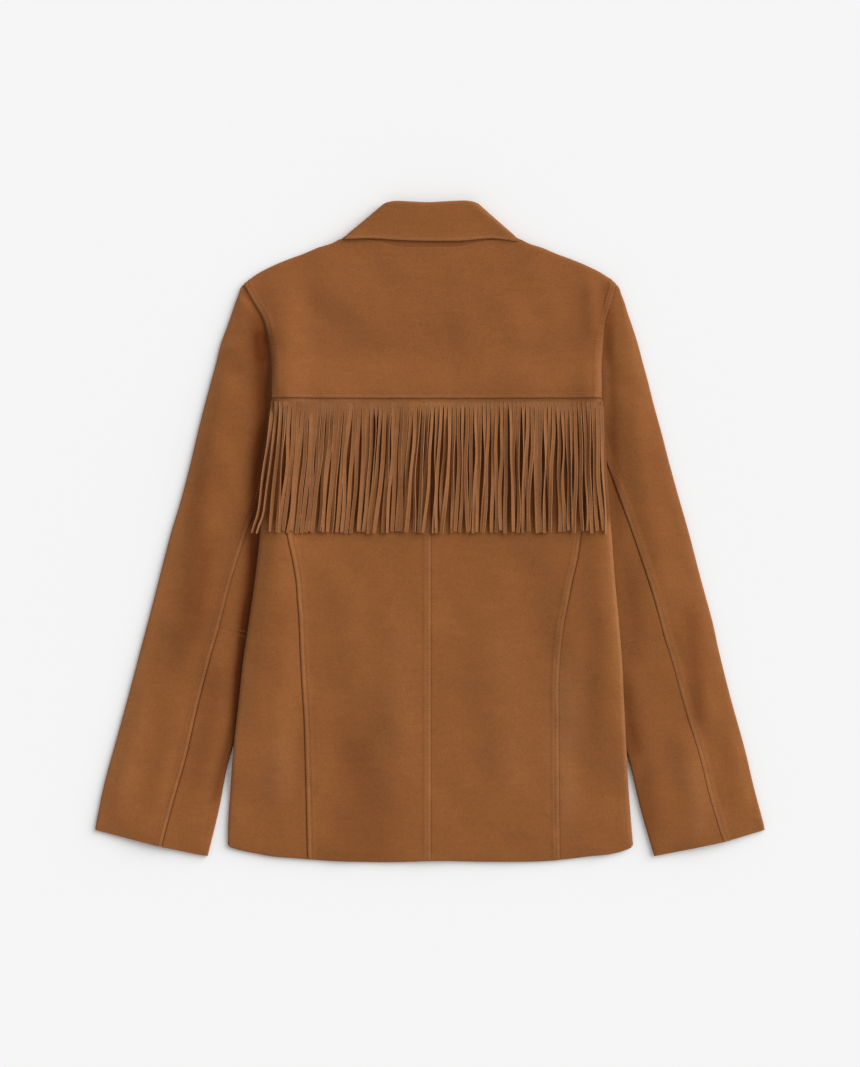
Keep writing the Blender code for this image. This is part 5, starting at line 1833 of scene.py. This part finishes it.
def section(band, puff, slide=0.0):
    """Along one section of the collar: place in the plan, and distance from the middle."""
    fold, free, neck = (np.array(p, float) for p in (band.fold, band.free, band.neck))
    run = unit(fold - neck)
    fold, free = fold + run * FOLD_SLIDE * slide, free + run * FREE_SLIDE * slide
    ahead = unit(fold - (neck + free) / 2)
    fold = fold - ahead * (puff + WALL)
    spots = []
    for share in STAND_SHARES:
        sink = NECK_SINK * (1 - smooth(share * SINK_FADE))
        spots.append((neck + (fold - neck) * share, STAND_SIDE - sink))
    for turn in ROLL_TURNS:
        spots.append((fold + ahead * puff * math.cos(turn), STAND_SIDE + puff + puff * math.sin(turn)))
    for share in FALL_SHARES:
        height = FALL_SIDE + (STAND_SIDE + 2 * puff - FALL_SIDE) * share**FALL_POWER
        spots.append((free + (fold - free) * share, height))
    return spots


# %% Sections round the ring
COLLAR_TURNS = np.radians([-90, -60, -30, 0, 30, 60, 90])
COLLAR_MIDDLE = 5.1
PUFF_RADIUS = {-1: 0.15, 0: 0.6, 1: 1.1}  # of the roll's inside: flat where it is lain on
BAND_STEPS = 5


def turning_band(band):
    """Sections where the collar turns over at the side of the neck."""
    run = unit(np.array(band.fold, float) - np.array(band.neck, float))
    outward = np.array([-run[1], run[0]])
    rows = []
    for turn in COLLAR_TURNS:
        aside, over = math.cos(turn), math.sin(turn)
        puff = PUFF_RADIUS[0] * (1 - over**2) + PUFF_RADIUS[1 if turn > 0 else -1] * over**2
        spots = section(band, puff, 1 - aside if turn > 0 else 0.0)
        rows.append([[*(spot + outward * away * aside), COLLAR_MIDDLE + away * over] for spot, away in spots])
    return rows


def collar_half(side):
    """Sections from the centre front round one side to the middle of the back."""
    rows = []
    for band in COLLAR_WINGS + COLLAR_BACKS[side]:
        if band.level:
            spots = section(band, PUFF_RADIUS[band.level])
            rows.append([[*spot, COLLAR_MIDDLE + band.level * away] for spot, away in spots])
        else:
            rows += turning_band(band)
    return np.array(rows, float)


mirrored = collar_half("right")[-2::-1] * (-1, 1, 1)
coarse = np.concatenate([collar_half("left"), mirrored])
around = np.linspace(0, len(coarse) - 1, (len(coarse) - 1) * BAND_STEPS + 1)
collar_grid = smooth_curve(range(len(coarse)), coarse)(around)
print(f"collar: {collar_grid.shape[0]} sections of {collar_grid.shape[1]} points")

# %% The collar's free edge stands off the yoke, more in some places
# At each x, how far it stands off.
STAND_OFF = [(-100, 0.9), (-84, 1.4), (-66, 1.1), (-40, 1.0), (0, 1.5),
             (36, 1.3), (56, 0.6), (72, 0.15), (86, 0.05), (100, 0.0)]
BACK_FADE = 3.0
on_back = smooth((collar_grid[..., 2] - COLLAR_MIDDLE) / BACK_FADE)
down_fall = np.concatenate([np.zeros(FALL_START), 1 - np.array(FALL_SHARES)])
collar_grid[..., 2] += on_back * down_fall**2 * smooth_curve(*zip(*STAND_OFF))(collar_grid[..., 0])
print(f"the collar reaches {collar_grid[..., 2].max():.1f} mm up")

# %% The collar's edge, wear and stitches
FALL_LENGTH = 44.0
GROOVE_LOST_ON_BACK = 0.6  # there its stitches sink less, by this share
EDGE_ROLL, EDGE_ROLL_WIDTH = 0.25, 4.0
EDGE_WEAR, EDGE_WEAR_WIDTH = 0.6, 6.0
ROLL_WEAR, ROLL_WEAR_WIDTH = 0.5, 3.0  # along the roll, in points

from_free = np.concatenate([np.full(FALL_START, FAR), np.array(FALL_SHARES) * FALL_LENGTH])
groove_depth = STITCH_GROOVE * (1 - GROOVE_LOST_ON_BACK * on_back)
relief = cut_round(from_free) - groove_depth * near(from_free - STITCH_SHARE * FALL_LENGTH, GROOVE_WIDTH)
relief += EDGE_ROLL * on_back * near(from_free, EDGE_ROLL_WIDTH)
from_roll = np.arange(len(from_free)) - len(STAND_SHARES) - len(ROLL_TURNS) / 2
wear = np.maximum(EDGE_WEAR * near(from_free, EDGE_WEAR_WIDTH), ROLL_WEAR * near(from_roll, ROLL_WEAR_WIDTH))
collar = make_wall("folded_collar", collar_grid, relief, wear=wear, finishes=(nap, nap, cut_edge))
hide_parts("collar_fall", "collar_stand")
collar_stitches = make_stitches("collar_stitches", [column_run(collar, FALL_STITCH)])

# %% [markdown]
# ## What each piece of cloth is
#
# Every piece is listed in a table with the size it was cut to, its area, what it rests
# on and the thread on it. The areas are of the cut that shows here, without seam
# allowances.

# %% The cloth
Cloth = namedtuple("Cloth", "piece flat area rests_on with_pieces")
BACK_CLOTHS = {  # flat size, area and what it rests on
    "back_centre_left": ((0.17, 0.50), 0.0737, "front_left_panel"),
    "back_centre_right": ((0.18, 0.50), 0.0752, "front_right_panel"),
    "back_side_left": ((0.095, 0.50), 0.0244, "front_left_panel"),
    "back_side_right": ((0.09, 0.50), 0.0246, "front_right_panel"),
}
SLEEVE_FLATS = {"top": (0.22, 0.62), "upper": (0.12, 0.30), "lower": (0.13, 0.24)}
SLEEVE_AREAS = {
    "left": {"top": 0.0913, "upper": 0.0185, "lower": 0.0196},
    "right": {"top": 0.0782, "upper": 0.0234, "lower": 0.0239},
}
CLOTHS = [
    Cloth(yoke.piece, (0.40, 0.17), 0.0574, [fringe.name], [yoke_stitches]),
    Cloth(fringe, (0.352, 0.150), 0.0458, ["panel_centre_left", "panel_centre_right"], []),
]
for name, (flat, area, under) in BACK_CLOTHS.items():
    thread_on_it = [back_stitches] if name == "back_centre_left" else []
    CLOTHS.append(Cloth(backs[name].piece, flat, area, [under], thread_on_it))
CLOTHS += [
    Cloth(front_left.piece, (0.25, 0.66), 0.126, ["front_right_panel"], [front_stitches]),
    Cloth(front_right.piece, (0.25, 0.66), 0.131, [], []),
    Cloth(collar.piece, (0.36, 0.11), 0.0323, ["yoke"], [collar_stitches]),
]
for side, pieces in sleeves.items():
    for part, flat in SLEEVE_FLATS.items():
        thread_on_it = [pieces["stitches"]] if part == "top" else []
        CLOTHS.append(Cloth(pieces[part], flat, SLEEVE_AREAS[side][part], [], thread_on_it))
for cloth in CLOTHS:
    under = cloth.rests_on or [table.name]
print(len(CLOTHS), "pieces of suede")
